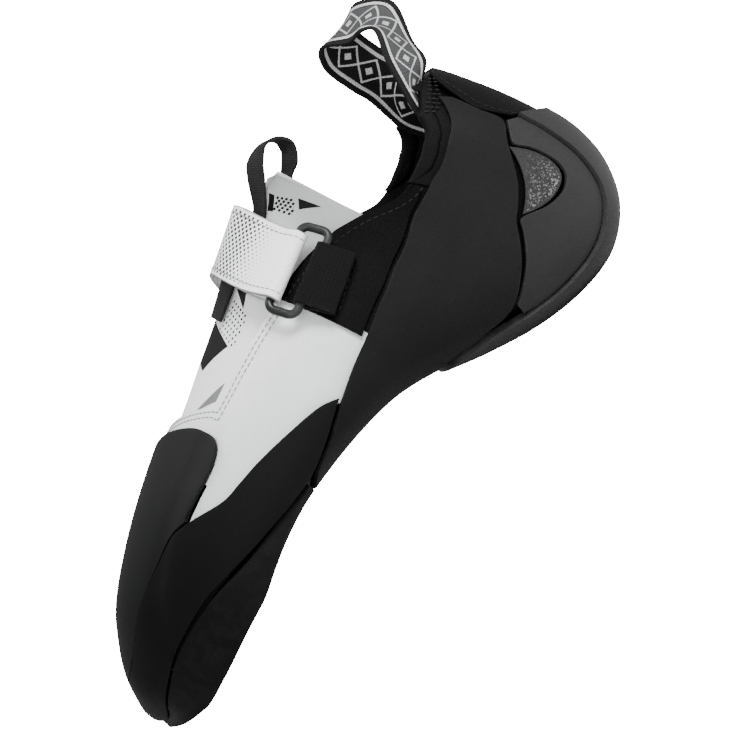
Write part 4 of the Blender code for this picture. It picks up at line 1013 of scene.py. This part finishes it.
def make_tail():
    grid = []
    for station in np.linspace(TAIL_LINE[0][0], TAIL_LINE[1][0], 25):
        girth = -np.interp(station, *np.array(sorted(TAIL_LINE)).T)
        reach = np.linspace(-1, 1, 15)[:, None] * np.array([[0, TAIL_WIDTH / 2 / half_girth(station)]])
        depth = TONGUE_FACE + ROUND_SEAT + WEBBING_THICKNESS / 2
        grid.append(on_last(np.array([[station, girth]]) + reach, depth))
    cloth("strap_tail_end", np.array(grid), WEBBING_THICKNESS, "tape", ["strap_tail"])


def loop(name, node, rows, height, width, first, last, finish):
    """Webbing through the rows of its table, between rows of points where its ends are sewn."""
    table = np.array(rows)
    centres = table[:, :3] * np.array([LENGTH, HEEL_WIDTH, height]) + np.array([TOE_X, 0, 0])
    run = directions(np.concatenate([first[-1:].mean(axis=1), centres, last[:1].mean(axis=1)]))[1:-1]
    across = table[:, 3:]
    across = unit(across - run * (across * run).sum(axis=1, keepdims=True))
    columns = np.linspace(-width / 2, width / 2, first.shape[1])
    grid = np.concatenate([first, centres[:, None] + across[:, None] * columns[None, :, None], last])
    grid = along(grid, np.linspace(0, len(grid) - 1, 14 * len(grid) - 13))
    cloth(name, grid, WEBBING_THICKNESS, finish, [node], covered=np.array([0.0, 1.0])[:, None, None])


BAR_TACKS = 9  # bars that sew each side of the heel's loop down
TACKS_FROM, TACKS_TO = (20.0, 0.452), (21.15, 0.245)  # middles of the first and the last
TACK_ENDS = ((-0.11, -0.020), (0.11, 0.014))  # from the middle of each to its ends


def make_loops():
    outside = TONGUE_FACE + SEAT + WEBBING_THICKNESS / 2
    behind = TONGUE_FACE - TONGUE_WALL - 2 * ROUND_SEAT - WEBBING_THICKNESS / 2
    ends = []
    for places, depth in ((PULL_FRONT, outside), (PULL_BACK, behind)):
        columns = np.linspace(-1, 1, 13) * PULL_WIDTH / 2 / half_girth(places[0][0])
        ends.append(np.array([on_last([(station, girth - column) for column in columns], depth)
                              for station, girth in places]))
    loop("tongue_loop", "tongue_pull_loop", PULL_LOOP, INSTEP_HEIGHT, PULL_WIDTH, *ends, "tape")
    depth = -UPPER_WALL - 2 * ROUND_SEAT - WEBBING_THICKNESS / 2
    rows = np.array(HEEL_LOOP_SEWN)
    part = np.linspace(0, 1, 27)[None, :, None]
    places = rows[:, None, :2] * (1 - part) + rows[:, None, 2:] * part
    lateral, medial = on_last(on_side(places, -1), depth), on_last(on_side(places[::-1], 1), depth)
    loop("pull_on_loop", "heel_loop", HEEL_LOOP, HEEL_HEIGHT, HEEL_LOOP_WIDTH, lateral, medial,
         "patterned_webbing")
    tacks = []
    for side in (-1, 1):
        for part in np.linspace(0, 1, BAR_TACKS):
            middle = np.array(TACKS_FROM) + (np.array(TACKS_TO) - np.array(TACKS_FROM)) * part
            ends = on_side(middle + np.array(TACK_ENDS), side)
            tacks.append(straight_seam(ends, BINDING_SKIN + 0.5 * MM, 12))
    stitches("bar_tacks", tacks, "black_thread", length=1.5 * MM, gap=0.2 * MM, thick=0.24 * MM)


# Finishes


def put(tree, kind, links=(), **settings):
    """A node of a kind. links are pairs of an input and either its value or the output that feeds it."""
    node = tree.nodes.new(kind)
    for word, value in settings.items():
        setattr(node, word, value)
    for word, source in links:
        if isinstance(source, bpy.types.NodeSocket):
            tree.links.new(source, node.inputs[word])
        else:
            node.inputs[word].default_value = source
    return node


def calc(tree, operation, *values):
    """Result of a calculation with values or outputs."""
    return put(tree, "ShaderNodeMath", enumerate(values), operation=operation).outputs[0]


def spread(tree, value, low, high, to_low=0.0, to_high=1.0, soft=True):
    """A value brought from one range to another and kept within it."""
    kind = "SMOOTHSTEP" if soft else "LINEAR"
    links = (("Value", value), ("From Min", low), ("From Max", high), ("To Min", to_low), ("To Max", to_high))
    return put(tree, "ShaderNodeMapRange", links, interpolation_type=kind).outputs["Result"]


def blend(tree, share, first, second):
    """Colour between two colours."""
    colours = [colour if isinstance(colour, bpy.types.NodeSocket) else (*colour, 1.0)
               for colour in (first, second)]
    links = ((0, share), (6, colours[0]), (7, colours[1]))
    return put(tree, "ShaderNodeMix", links, data_type="RGBA").outputs[2]


def tint(tree, tone, share, strength, colour):
    """A colour with another over it, as far as a share and a strength say."""
    return blend(tree, calc(tree, "MULTIPLY", share, strength), tone, colour)


def noise(tree, vector, scale, detail=3.0, rough=0.55, warp=0.0):
    """Cloudy noise from 0 to 1 round 0.5."""
    links = (("Vector", vector), ("Scale", scale), ("Detail", detail), ("Roughness", rough),
             ("Distortion", warp))
    return put(tree, "ShaderNodeTexNoise", links).outputs[0]


def pattern(tree):
    """The three pattern coordinates of a piece: along, across and from its nearest edge, in metres."""
    vector = put(tree, "ShaderNodeAttribute", attribute_name="flat").outputs["Vector"]
    parts = put(tree, "ShaderNodeSeparateXYZ", ((0, vector),))
    return vector, parts.outputs[0], parts.outputs[1], parts.outputs[2]


def place_on_shoe(tree):
    """Position on the shoe in metres."""
    return put(tree, "ShaderNodeTexCoord").outputs["Object"]


def along_axis(tree, place, axis):
    """How far a place lies along an axis of the shoe."""
    return put(tree, "ShaderNodeSeparateXYZ", ((0, place),)).outputs[axis]


def new_group(name, inputs, outputs):
    """Node group with number inputs at their usual values, and number outputs."""
    tree = bpy.data.node_groups.new(name, "ShaderNodeTree")
    for word, value in inputs:
        socket = tree.interface.new_socket(word, in_out="INPUT", socket_type="NodeSocketFloat")
        socket.default_value = value
    for word in outputs:
        tree.interface.new_socket(word, in_out="OUTPUT", socket_type="NodeSocketFloat")
    return tree, tree.nodes.new("NodeGroupInput").outputs, tree.nodes.new("NodeGroupOutput")


def give(tree, group, links=()):
    """Outputs of a node group, with values or outputs given for its inputs."""
    return put(tree, "ShaderNodeGroup", links, node_tree=group).outputs


def make_groups():
    """Effects that several finishes share."""
    made = {}
    tree, given, out = new_group("grain", (("Cell Scale", 900.0), ("Wrinkle", 0.5)), ("Height", "Valley"))
    place = place_on_shoe(tree)
    drift = put(tree, "ShaderNodeTexNoise", (("Vector", place), ("Scale", 420.0))).outputs["Color"]
    drift = put(tree, "ShaderNodeVectorMath", ((0, drift), ("Scale", 0.0009)), operation="SCALE").outputs[0]
    bent = put(tree, "ShaderNodeVectorMath", ((0, place), (1, drift)), operation="ADD").outputs[0]
    cells = put(tree, "ShaderNodeTexVoronoi", (("Vector", bent), ("Scale", given["Cell Scale"])),
                feature="DISTANCE_TO_EDGE").outputs["Distance"]
    cells = spread(tree, cells, 0.0, 0.28)
    folds = noise(tree, place, 260.0, 4.0, 0.6, 0.4)
    height = calc(tree, "MULTIPLY_ADD", calc(tree, "MULTIPLY", folds, given["Wrinkle"]), 2.0, cells)
    tree.links.new(height, out.inputs["Height"])
    tree.links.new(calc(tree, "SUBTRACT", 1.0, cells), out.inputs["Valley"])
    made["grain"] = tree

    tree, given, out = new_group("clouds", (("Cloud Scale", 30.0), ("Low", 0.35), ("High", 0.65)), ("Cloud",))
    cloud = noise(tree, place_on_shoe(tree), given["Cloud Scale"], 5.0, 0.6, 0.3)
    tree.links.new(spread(tree, cloud, given["Low"], given["High"]), out.inputs["Cloud"])
    made["clouds"] = tree

    tree, given, out = new_group("edge_wear", (("Width", 0.0012),), ("Worn",))
    _, _, _, edge = pattern(tree)
    near = spread(tree, edge, 0.0, given["Width"], 1.0, 0.0)
    patchy = spread(tree, noise(tree, place_on_shoe(tree), 220.0, 4.0), 0.40, 0.62)
    tree.links.new(calc(tree, "MULTIPLY", near, patchy), out.inputs["Worn"])
    made["edge_wear"] = tree

    tree, given, out = new_group("weave", (("Pitch", 0.0011),), ("Height", "Gap"))
    _, run, across, _ = pattern(tree)
    turns = [calc(tree, "MULTIPLY", calc(tree, "DIVIDE", part, given["Pitch"]), 2 * math.pi)
             for part in (run, across)]
    leaning = calc(tree, "ADD", turns[0], calc(tree, "PINGPONG", turns[1], math.pi))
    ribs = calc(tree, "MULTIPLY_ADD", calc(tree, "SINE", leaning), 0.5, 0.5)
    columns = calc(tree, "ABSOLUTE", calc(tree, "SINE", calc(tree, "MULTIPLY", turns[1], 0.5)))
    height = calc(tree, "MULTIPLY", calc(tree, "POWER", ribs, 0.7), calc(tree, "POWER", columns, 0.4))
    tree.links.new(height, out.inputs["Height"])
    tree.links.new(calc(tree, "SUBTRACT", 1.0, height), out.inputs["Gap"])
    made["weave"] = tree

    tree, given, out = new_group("dots", (("Pitch", 0.0026), ("Radius", 0.0004)), ("Dot",))
    _, run, across, _ = pattern(tree)
    mask = None
    for shift in (0.0, 0.5):
        steps = [calc(tree, "ADD", calc(tree, "DIVIDE", part, given["Pitch"]), shift + 100.0)
                 for part in (run, across)]
        parts = [calc(tree, "SUBTRACT", calc(tree, "FRACT", step), 0.5) for step in steps]
        squares = calc(tree, "ADD", calc(tree, "MULTIPLY", parts[0], parts[0]),
                       calc(tree, "MULTIPLY", parts[1], parts[1]))
        away = calc(tree, "MULTIPLY", calc(tree, "SQRT", squares), given["Pitch"])
        inside = spread(tree, calc(tree, "SUBTRACT", given["Radius"], away), -0.00003, 0.00003)
        mask = inside if mask is None else calc(tree, "MAXIMUM", mask, inside)
    tree.links.new(mask, out.inputs["Dot"])
    made["dots"] = tree
    return made


def finish(name, roughness, specular=0.5, coat=0.0, coat_roughness=0.3, sheen=0.0):
    """A Principled material with its even numbers set. Returns it with its tree and shader."""
    made = bpy.data.materials.new(name)
    made.use_nodes = True
    shader = made.node_tree.nodes["Principled BSDF"]
    shader.inputs["Roughness"].default_value = roughness
    shader.inputs["Specular IOR Level"].default_value = specular
    shader.inputs["Coat Weight"].default_value = coat
    shader.inputs["Coat Roughness"].default_value = coat_roughness
    shader.inputs["Sheen Weight"].default_value = sheen
    return made, made.node_tree, shader


def set_surface(tree, shader, colour, rough, height, depth):
    """Feeds a shader with a colour, a roughness and a height that is depth metres deep."""
    tree.links.new(colour, shader.inputs["Base Color"])
    tree.links.new(rough, shader.inputs["Roughness"])
    bump = put(tree, "ShaderNodeBump", (("Strength", 1.0), ("Distance", depth), ("Height", height)))
    tree.links.new(bump.outputs["Normal"], shader.inputs["Normal"])


def faint_clouds(tree, groups, scale, low, high):
    """Clouds from 0 to 1 over the whole shoe."""
    return give(tree, groups["clouds"], [("Cloud Scale", scale), ("Low", low), ("High", high)])["Cloud"]


def worn_edges(tree, groups, width):
    """Where a piece is worn near its sides, from 0 to 1."""
    return give(tree, groups["edge_wear"], [("Width", width)])["Worn"]


def leather(name, groups, colour, shadow, roughness, depth, scale=900.0, coat=0.05, shine=0.15,
            painted_low_shade_and_covered=False):
    """Coated synthetic leather: fine grain, faint clouds and, on the upper, painted shade that greys it
    towards the sole and black where it is covered.
    """
    made, tree, shader = finish(name, roughness, shine, coat, 0.35)
    grain = give(tree, groups["grain"], [("Cell Scale", scale), ("Wrinkle", 0.45)])
    cloud = faint_clouds(tree, groups, 26.0, 0.38, 0.68)
    worn = give(tree, groups["edge_wear"])["Worn"]
    tone = blend(tree, calc(tree, "MULTIPLY", cloud, 0.55), colour, shadow)
    tone = tint(tree, tone, grain["Valley"], 0.16, [part * 0.72 for part in shadow])
    tone = tint(tree, tone, worn, 0.35, [part * 0.8 for part in shadow])
    if painted_low_shade_and_covered:
        # painted shade: the upper turns grey-green towards the sole, where it turns away from the light
        height = along_axis(tree, place_on_shoe(tree), 2)
        tone = blend(tree, spread(tree, height, 0.048, 0.086, 1.0, 0.0), tone, (0.50, 0.545, 0.515))
        covered = put(tree, "ShaderNodeAttribute", attribute_name="covered").outputs["Fac"]
        hidden = spread(tree, covered, 0.45, 0.55)
        tone = blend(tree, hidden, tone, (0.002, 0.002, 0.002))
        tree.links.new(hidden, shader.inputs["Metallic"])
    rough = calc(tree, "MULTIPLY_ADD", cloud, 0.10, roughness)
    set_surface(tree, shader, tone, rough, grain["Height"], depth)
    return made


def moulded_rubber(name, groups, colour, dust, roughness, depth, dusty=0.5, shine=0.1, painted_light_ramp=None):
    """Matt rubber with faint clouds, a fine moulded grain, and dust in its scuffs and at its edges.
    painted_light_ramp is painted light and shade along the shoe: how far along it the colour starts and ends
    to change, and what it changes to."""
    made, tree, shader = finish(name, roughness, shine)
    place = place_on_shoe(tree)
    cloud = faint_clouds(tree, groups, 34.0, 0.36, 0.66)
    worn = worn_edges(tree, groups, 0.0011)
    fine = noise(tree, place, 2600.0, 2.0)
    pits = noise(tree, place, 520.0, 4.0, 0.6)
    links = (("Vector", place), ("Scale", (1.0, 0.4, 6.0)), ("Rotation", (0.3, 0.5, 0.2)))
    scratches = noise(tree, put(tree, "ShaderNodeMapping", links).outputs[0], 150.0, 5.0, 0.65)
    scuffed = calc(tree, "MULTIPLY", spread(tree, scratches, 0.60, 0.72), cloud)
    share = calc(tree, "MAXIMUM", calc(tree, "MULTIPLY", worn, 0.45), calc(tree, "MULTIPLY", scuffed, dusty))
    tone = blend(tree, cloud, colour, [part * 1.35 for part in colour])
    # painted light and shade: the colour changes along the shoe, darker at the toe and lighter towards the
    # heel
    if painted_light_ramp:
        along_shoe = along_axis(tree, place, 0)
        tone = blend(tree, spread(tree, along_shoe, painted_light_ramp[0], painted_light_ramp[1]), tone, painted_light_ramp[2])
    tone = blend(tree, share, tone, dust)
    tone = blend(tree, spread(tree, pits, 0.55, 0.75, 0.0, 0.35), tone, [part * 0.6 for part in colour])
    rough = calc(tree, "MULTIPLY_ADD", scuffed, 0.15, roughness)
    height = calc(tree, "MULTIPLY_ADD", fine, 0.35, pits)
    set_surface(tree, shader, tone, rough, height, depth)
    return made


def speckled_rubber(name, groups):
    """Rough rubber full of silvery flecks, which lie closer towards its lower edge."""
    made, tree, shader = finish(name, 0.75, 0.25)
    place = place_on_shoe(tree)
    cells = put(tree, "ShaderNodeTexVoronoi", (("Vector", place), ("Scale", 2300.0), ("Randomness", 1.0)))
    fleck = put(tree, "ShaderNodeSeparateColor", ((0, cells.outputs["Color"]),)).outputs[0]
    height = along_axis(tree, place, 2)
    amount = spread(tree, height, 0.022, 0.056, 0.30, 0.95)
    silver = spread(tree, calc(tree, "SUBTRACT", fleck, amount), 0.0, 0.55)
    _, _, _, edge = pattern(tree)
    inside = spread(tree, edge, 0.0002, 0.0016)
    tone = blend(tree, calc(tree, "MULTIPLY", silver, inside), (0.014, 0.014, 0.0145), (0.150, 0.152, 0.158))
    cloud = faint_clouds(tree, groups, 90.0, 0.35, 0.7)
    tone = tint(tree, tone, cloud, 0.35, (0.022, 0.022, 0.023))
    bumps = calc(tree, "ADD", calc(tree, "MULTIPLY", cells.outputs["Distance"], -1.0),
                 noise(tree, place, 900.0, 3.0))
    rough = calc(tree, "MULTIPLY_ADD", silver, -0.30, 0.8)
    set_surface(tree, shader, tone, rough, bumps, 0.25 * MM)
    return made


def knitted(name, groups):
    """Padded cloth of the tongue, pale grey with a fine knit, darker towards its top."""
    made, tree, shader = finish(name, 0.8, 0.25, sheen=0.15)
    weave = give(tree, groups["weave"], [("Pitch", 0.0009)])
    place = place_on_shoe(tree)
    cloud = faint_clouds(tree, groups, 60.0, 0.3, 0.7)
    along_shoe = along_axis(tree, place, 0)
    high = spread(tree, along_shoe, 0.016, 0.036)
    tone = blend(tree, calc(tree, "MULTIPLY", cloud, 0.4), (0.82, 0.83, 0.825), (0.72, 0.74, 0.735))
    tone = tint(tree, tone, high, 0.9, (0.25, 0.262, 0.258))
    tone = tint(tree, tone, weave["Gap"], 0.22, (0.30, 0.31, 0.31))
    rough = calc(tree, "MULTIPLY_ADD", cloud, 0.1, 0.78)
    set_surface(tree, shader, tone, rough, weave["Height"], 0.10 * MM)
    return made


DOTS_MIDDLE = 0.036  # how far along the strap's pattern its dots are largest
DIAMOND = 0.0046  # half the width of a diamond on the heel's loop


def strap_leather(name, groups):
    """White strap with a soft grain and black dots that fade out towards the ring."""
    made, tree, shader = finish(name, 0.42, 0.45, 0.08, 0.35)
    grain = give(tree, groups["grain"], [("Cell Scale", 1100.0), ("Wrinkle", 0.4)])
    cloud = faint_clouds(tree, groups, 24.0, 0.35, 0.7)
    worn = give(tree, groups["edge_wear"])["Worn"]
    _, run, _, edge = pattern(tree)
    away = calc(tree, "ABSOLUTE", calc(tree, "SUBTRACT", run, DOTS_MIDDLE))
    radius = spread(tree, away, 0.004, 0.019, 0.00062, 0.0001, soft=False)
    radius = calc(tree, "SUBTRACT", radius, spread(tree, edge, 0.0006, 0.0016, 0.0006, 0.0))
    dot = give(tree, groups["dots"], [("Pitch", 0.0024), ("Radius", radius)])["Dot"]
    tone = blend(tree, calc(tree, "MULTIPLY", cloud, 0.3), (0.80, 0.815, 0.81), (0.68, 0.70, 0.70))
    tone = tint(tree, tone, grain["Valley"], 0.10, (0.5, 0.52, 0.52))
    tone = tint(tree, tone, worn, 0.5, (0.30, 0.31, 0.31))
    # a thin dark line along the strap's edges: painted edge shade, and the dark edge of the cut layer
    tone = blend(tree, spread(tree, edge, 0.00025, 0.0005, 0.75, 0.0), tone, (0.03, 0.03, 0.031))
    tone = blend(tree, dot, tone, (0.006, 0.006, 0.0062))
    rough = calc(tree, "MULTIPLY_ADD", cloud, 0.1, 0.42)
    set_surface(tree, shader, tone, rough, grain["Height"], 0.05 * MM)
    return made


def woven(name, groups, colour, light, pitch=0.0012, shine=0.08):
    """Black webbing with a herringbone weave, and lint at its worn edges and in faint clouds."""
    made, tree, shader = finish(name, 0.72, shine)
    weave = give(tree, groups["weave"], [("Pitch", pitch)])
    cloud = faint_clouds(tree, groups, 80.0, 0.3, 0.7)
    worn = worn_edges(tree, groups, 0.0009)
    tone = blend(tree, weave["Height"], [part * 0.5 for part in colour], colour)
    lint = calc(tree, "MAXIMUM", worn, calc(tree, "MULTIPLY", cloud, 0.2))
    tone = tint(tree, tone, lint, 0.4, light)
    rough = calc(tree, "MULTIPLY_ADD", cloud, 0.12, 0.66)
    set_surface(tree, shader, tone, rough, weave["Height"], 0.12 * MM)
    return made


def patterned_webbing(name, groups):
    """Black webbing with a pale line inside each edge and diamonds between, greyer on its inner face."""
    made, tree, shader = finish(name, 0.7, 0.12)
    weave = give(tree, groups["weave"], [("Pitch", 0.0010)])
    _, run, across, edge = pattern(tree)
    inner = put(tree, "ShaderNodeAttribute", attribute_name="covered").outputs["Fac"]
    line_share = calc(tree, "MULTIPLY", spread(tree, edge, 0.0021, 0.0023),
                      spread(tree, edge, 0.0033, 0.0035, 1.0, 0.0))
    swing = calc(tree, "PINGPONG", calc(tree, "ADD", run, 1.0), DIAMOND)
    wide = calc(tree, "ABSOLUTE", across)
    rim = calc(tree, "ABSOLUTE", calc(tree, "SUBTRACT", calc(tree, "ADD", swing, wide), DIAMOND))
    diamond = spread(tree, rim, 0.00035, 0.00055, 1.0, 0.0)
    heart = spread(tree, calc(tree, "ADD", swing, wide), 0.0015, 0.0017, 1.0, 0.0)
    marks = calc(tree, "MAXIMUM", line_share, calc(tree, "MAXIMUM", diamond, heart))
    tone = blend(tree, marks, (0.0028, 0.0028, 0.0029), (0.50, 0.505, 0.51))
    shaded = calc(tree, "MULTIPLY", spread(tree, inner, 0.45, 0.55), spread(tree, edge, 0.0034, 0.0040))
    tone = tint(tree, tone, shaded, 0.25, (0.20, 0.205, 0.21))
    tone = blend(tree, spread(tree, edge, 0.0009, 0.0013, 1.0, 0.0), tone, (0.005, 0.005, 0.005))
    tone = tint(tree, tone, weave["Gap"], 0.45, (0.003, 0.003, 0.003))
    rough = calc(tree, "MULTIPLY_ADD", weave["Height"], -0.08, 0.74)
    set_surface(tree, shader, tone, rough, weave["Height"], 0.14 * MM)
    return made


def plastic(name, groups, colour):
    """Moulded plastic with a fine satin texture and rubbed spots."""
    made, tree, shader = finish(name, 0.4, 0.3)
    place = place_on_shoe(tree)
    cloud = faint_clouds(tree, groups, 120.0, 0.35, 0.7)
    tone = blend(tree, cloud, colour, [part * 1.6 for part in colour])
    rough = calc(tree, "MULTIPLY_ADD", cloud, 0.16, 0.34)
    set_surface(tree, shader, tone, rough, noise(tree, place, 1800.0, 2.0), 0.03 * MM)
    return made


def matt(name, colour, second, roughness, scale, depth):
    """Plain matt stuff, such as thread, lining or print: fibres or ink with a fine uneven surface."""
    made, tree, shader = finish(name, roughness, 0.1)
    place = place_on_shoe(tree)
    fibres = noise(tree, place, scale, 4.0, 0.65)
    tone = blend(tree, spread(tree, fibres, 0.35, 0.65), colour, second)
    rough = calc(tree, "MULTIPLY_ADD", fibres, 0.15, roughness - 0.07)
    set_surface(tree, shader, tone, rough, fibres, depth)
    return made


MATT_FINISHES = (
    # name, colour, lighter colour, roughness, scale of its fibres, depth of its bump
    ("lining", (0.0025, 0.0025, 0.0026), (0.005, 0.005, 0.0052), 0.9, 1400.0, 0.08 * MM),
    ("board", (0.007, 0.007, 0.0072), (0.013, 0.013, 0.0135), 0.9, 1100.0, 0.08 * MM),
    ("black_print", (0.0018, 0.0018, 0.0019), (0.003, 0.003, 0.0031), 0.6, 900.0, 0.03 * MM),
    ("grey_print", (0.115, 0.12, 0.12), (0.15, 0.155, 0.155), 0.65, 900.0, 0.03 * MM),
    ("grey_thread", (0.10, 0.105, 0.105), (0.17, 0.175, 0.175), 0.7, 2600.0, 0.05 * MM),
    ("black_thread", (0.008, 0.008, 0.0082), (0.018, 0.018, 0.0184), 0.6, 2600.0, 0.05 * MM),
)


def make_finishes():
    groups = make_groups()
    return {
        "white_leather": leather("white_leather", groups, (0.80, 0.812, 0.806), (0.72, 0.74, 0.73), 0.44,
                                 0.07 * MM, shine=0.35, painted_low_shade_and_covered=True),
        "smooth_black": leather("smooth_black", groups, (0.0010, 0.0010, 0.0011), (0.0007, 0.0007, 0.0008),
                                0.55, 0.04 * MM, scale=1300.0, coat=0.0, shine=0.04),
        "binding": leather("black_binding", groups, (0.0020, 0.0020, 0.0021), (0.0014, 0.0014, 0.0015),
                           0.55, 0.05 * MM, scale=1500.0, coat=0.0, shine=0.06),
        # the last item of each rubber below is painted light and shade: darker at the toe, lighter towards
        # the heel
        "rubber": moulded_rubber("band_rubber", groups, (0.0028, 0.0028, 0.0029), (0.011, 0.011, 0.0112),
                                 0.60, 0.05 * MM, dusty=0.35, shine=0.07,
                                 painted_light_ramp=(0.035, 0.085, (0.0062, 0.0062, 0.0063))),
        "cap_rubber": moulded_rubber("cap_rubber", groups, (0.0014, 0.0014, 0.0015), (0.011, 0.011, 0.0112),
                                     0.60, 0.05 * MM, dusty=0.25, shine=0.07,
                                     painted_light_ramp=(-0.112, -0.050, (0.0062, 0.0062, 0.0063))),
        # heel_rubber is the band's rubber made about three times lighter: painted light where light falls on
        # the heel cup and strip
        "heel_rubber": moulded_rubber("heel_rubber", groups, (0.0085, 0.0085, 0.0087), (0.024, 0.024, 0.0245),
                                      0.60, 0.05 * MM, dusty=0.35, shine=0.14,
                                      painted_light_ramp=(0.075, 0.118, (0.0170, 0.0170, 0.0173))),
        "sole_rubber": moulded_rubber("sole_rubber", groups, (0.0016, 0.0016, 0.0017), (0.005, 0.005, 0.0052),
                                      0.64, 0.06 * MM, dusty=0.05, shine=0.05,
                                      painted_light_ramp=(-0.105, -0.030, (0.0034, 0.0034, 0.0035))),
        "rough_rubber": speckled_rubber("rough_rubber", groups),
        "knit": knitted("knit", groups),
        "strap": strap_leather("strap_leather", groups),
        "webbing": woven("keeper_webbing", groups, (0.0016, 0.0016, 0.0017), (0.010, 0.010, 0.0103)),
        "tape": woven("tape", groups, (0.0110, 0.0110, 0.0113), (0.020, 0.020, 0.0205),
                      pitch=0.0008, shine=0.12),
        "patterned_webbing": patterned_webbing("patterned_webbing", groups),
        "hard_plastic": plastic("hard_plastic", groups, (0.0052, 0.0064, 0.0060)),
        **{name: matt(name, dark, light, roughness, scale, depth)
           for name, dark, light, roughness, scale, depth in MATT_FINISHES},
    }


# Studio


CAMERA_ANGLES = (-5.0, 6.0, 46.8)  # azimuth, elevation and roll in degrees
CAMERA_DISTANCE, CAMERA_TARGET = 1.04, (0.0138, 0.0, 0.0355)
CAMERA_LENS = 149.6
FLOOR_GLOW = 24.0  # brightness of floor and surroundings to the camera alone
SKY = 0.62
LIGHTS = (
    # name, place, size, power
    ("key", (0.75, -0.85, 0.95), 0.6, 40.0),
    ("front", (-0.45, -1.35, 0.55), 0.9, 14.0),
    ("high", (-0.2, 0.3, 1.3), 0.8, 12.0),
)


def place_camera():
    """Camera at the photograph's angle, rolled as the shoe is."""
    azimuth, elevation, roll = (math.radians(angle) for angle in CAMERA_ANGLES)
    back = Vector((math.sin(azimuth) * math.cos(elevation), -math.cos(azimuth) * math.cos(elevation),
                   math.sin(elevation)))
    right = Vector((math.cos(azimuth), math.sin(azimuth), 0.0))
    up = back.cross(right)
    turned_right = right * math.cos(roll) - up * math.sin(roll)
    turned_up = right * math.sin(roll) + up * math.cos(roll)
    data = bpy.data.cameras.new("camera")
    data.lens = CAMERA_LENS
    data.sensor_width = 36.0
    data.clip_start, data.clip_end = 0.05, 20.0
    camera = bpy.data.objects.new("camera", data)
    bpy.context.scene.collection.objects.link(camera)
    basis = Matrix((turned_right, turned_up, back)).transposed().to_4x4()
    camera.matrix_world = Matrix.Translation(Vector(CAMERA_TARGET) + back * CAMERA_DISTANCE) @ basis
    bpy.context.scene.camera = camera


def add_light(name, place, size, power, target=(0.0, 0.0, 0.04)):
    """A soft square light that looks at the shoe."""
    data = bpy.data.lights.new(name, "AREA")
    data.shape = "SQUARE"
    data.size = size
    data.energy = power
    light = bpy.data.objects.new(name, data)
    bpy.context.scene.collection.objects.link(light)
    light.location = place
    light.rotation_euler = (Vector(target) - Vector(place)).to_track_quat("-Z", "Y").to_euler()


def make_studio():
    """White floor and surroundings that look evenly white to the camera, and soft lights."""
    mesh = bmesh.new()
    bmesh.ops.create_circle(mesh, cap_ends=True, segments=64, radius=6.0)
    data = bpy.data.meshes.new("floor")
    mesh.to_mesh(data)
    mesh.free()
    floor = bpy.data.objects.new("floor", data)
    bpy.context.scene.collection.objects.link(floor)
    floor.location.z = -0.0004
    made, tree, shader = finish("white_floor", 0.9, 0.2)
    paper = spread(tree, noise(tree, place_on_shoe(tree), 40.0), 0.2, 0.8, 0.0, 1.0)
    tone = blend(tree, paper, (0.80, 0.80, 0.80), (0.84, 0.84, 0.84))
    set_surface(tree, shader, tone, calc(tree, "MULTIPLY_ADD", paper, 0.05, 0.88), paper, 0.02 * MM)
    seen = put(tree, "ShaderNodeLightPath").outputs["Is Camera Ray"]
    tree.links.new(blend(tree, seen, (0.0, 0.0, 0.0), (1.0, 1.0, 1.0)), shader.inputs["Emission Color"])
    shader.inputs["Emission Strength"].default_value = FLOOR_GLOW
    data.materials.append(made)
    world = bpy.data.worlds.new("surroundings")
    bpy.context.scene.world = world
    world.use_nodes = True
    tree = world.node_tree
    ground = tree.nodes["Background"]
    ground.inputs["Color"].default_value = (1.0, 1.0, 1.0, 1.0)
    seen = put(tree, "ShaderNodeLightPath").outputs["Is Camera Ray"]
    tree.links.new(calc(tree, "MULTIPLY_ADD", seen, FLOOR_GLOW, SKY), ground.inputs["Strength"])
    for light in LIGHTS:
        add_light(*light)


def main():
    FINISHES.update(make_finishes())
    make_upper()
    throat_stitches()
    make_tongue()
    tongue_prints()
    make_insole()
    make_outsole()
    make_forefoot_rubber()
    make_arch_band()
    make_heel()
    make_collar()
    black_stitches()
    make_closure()
    make_tail()
    make_loops()
    place_camera()
    make_studio()


main()
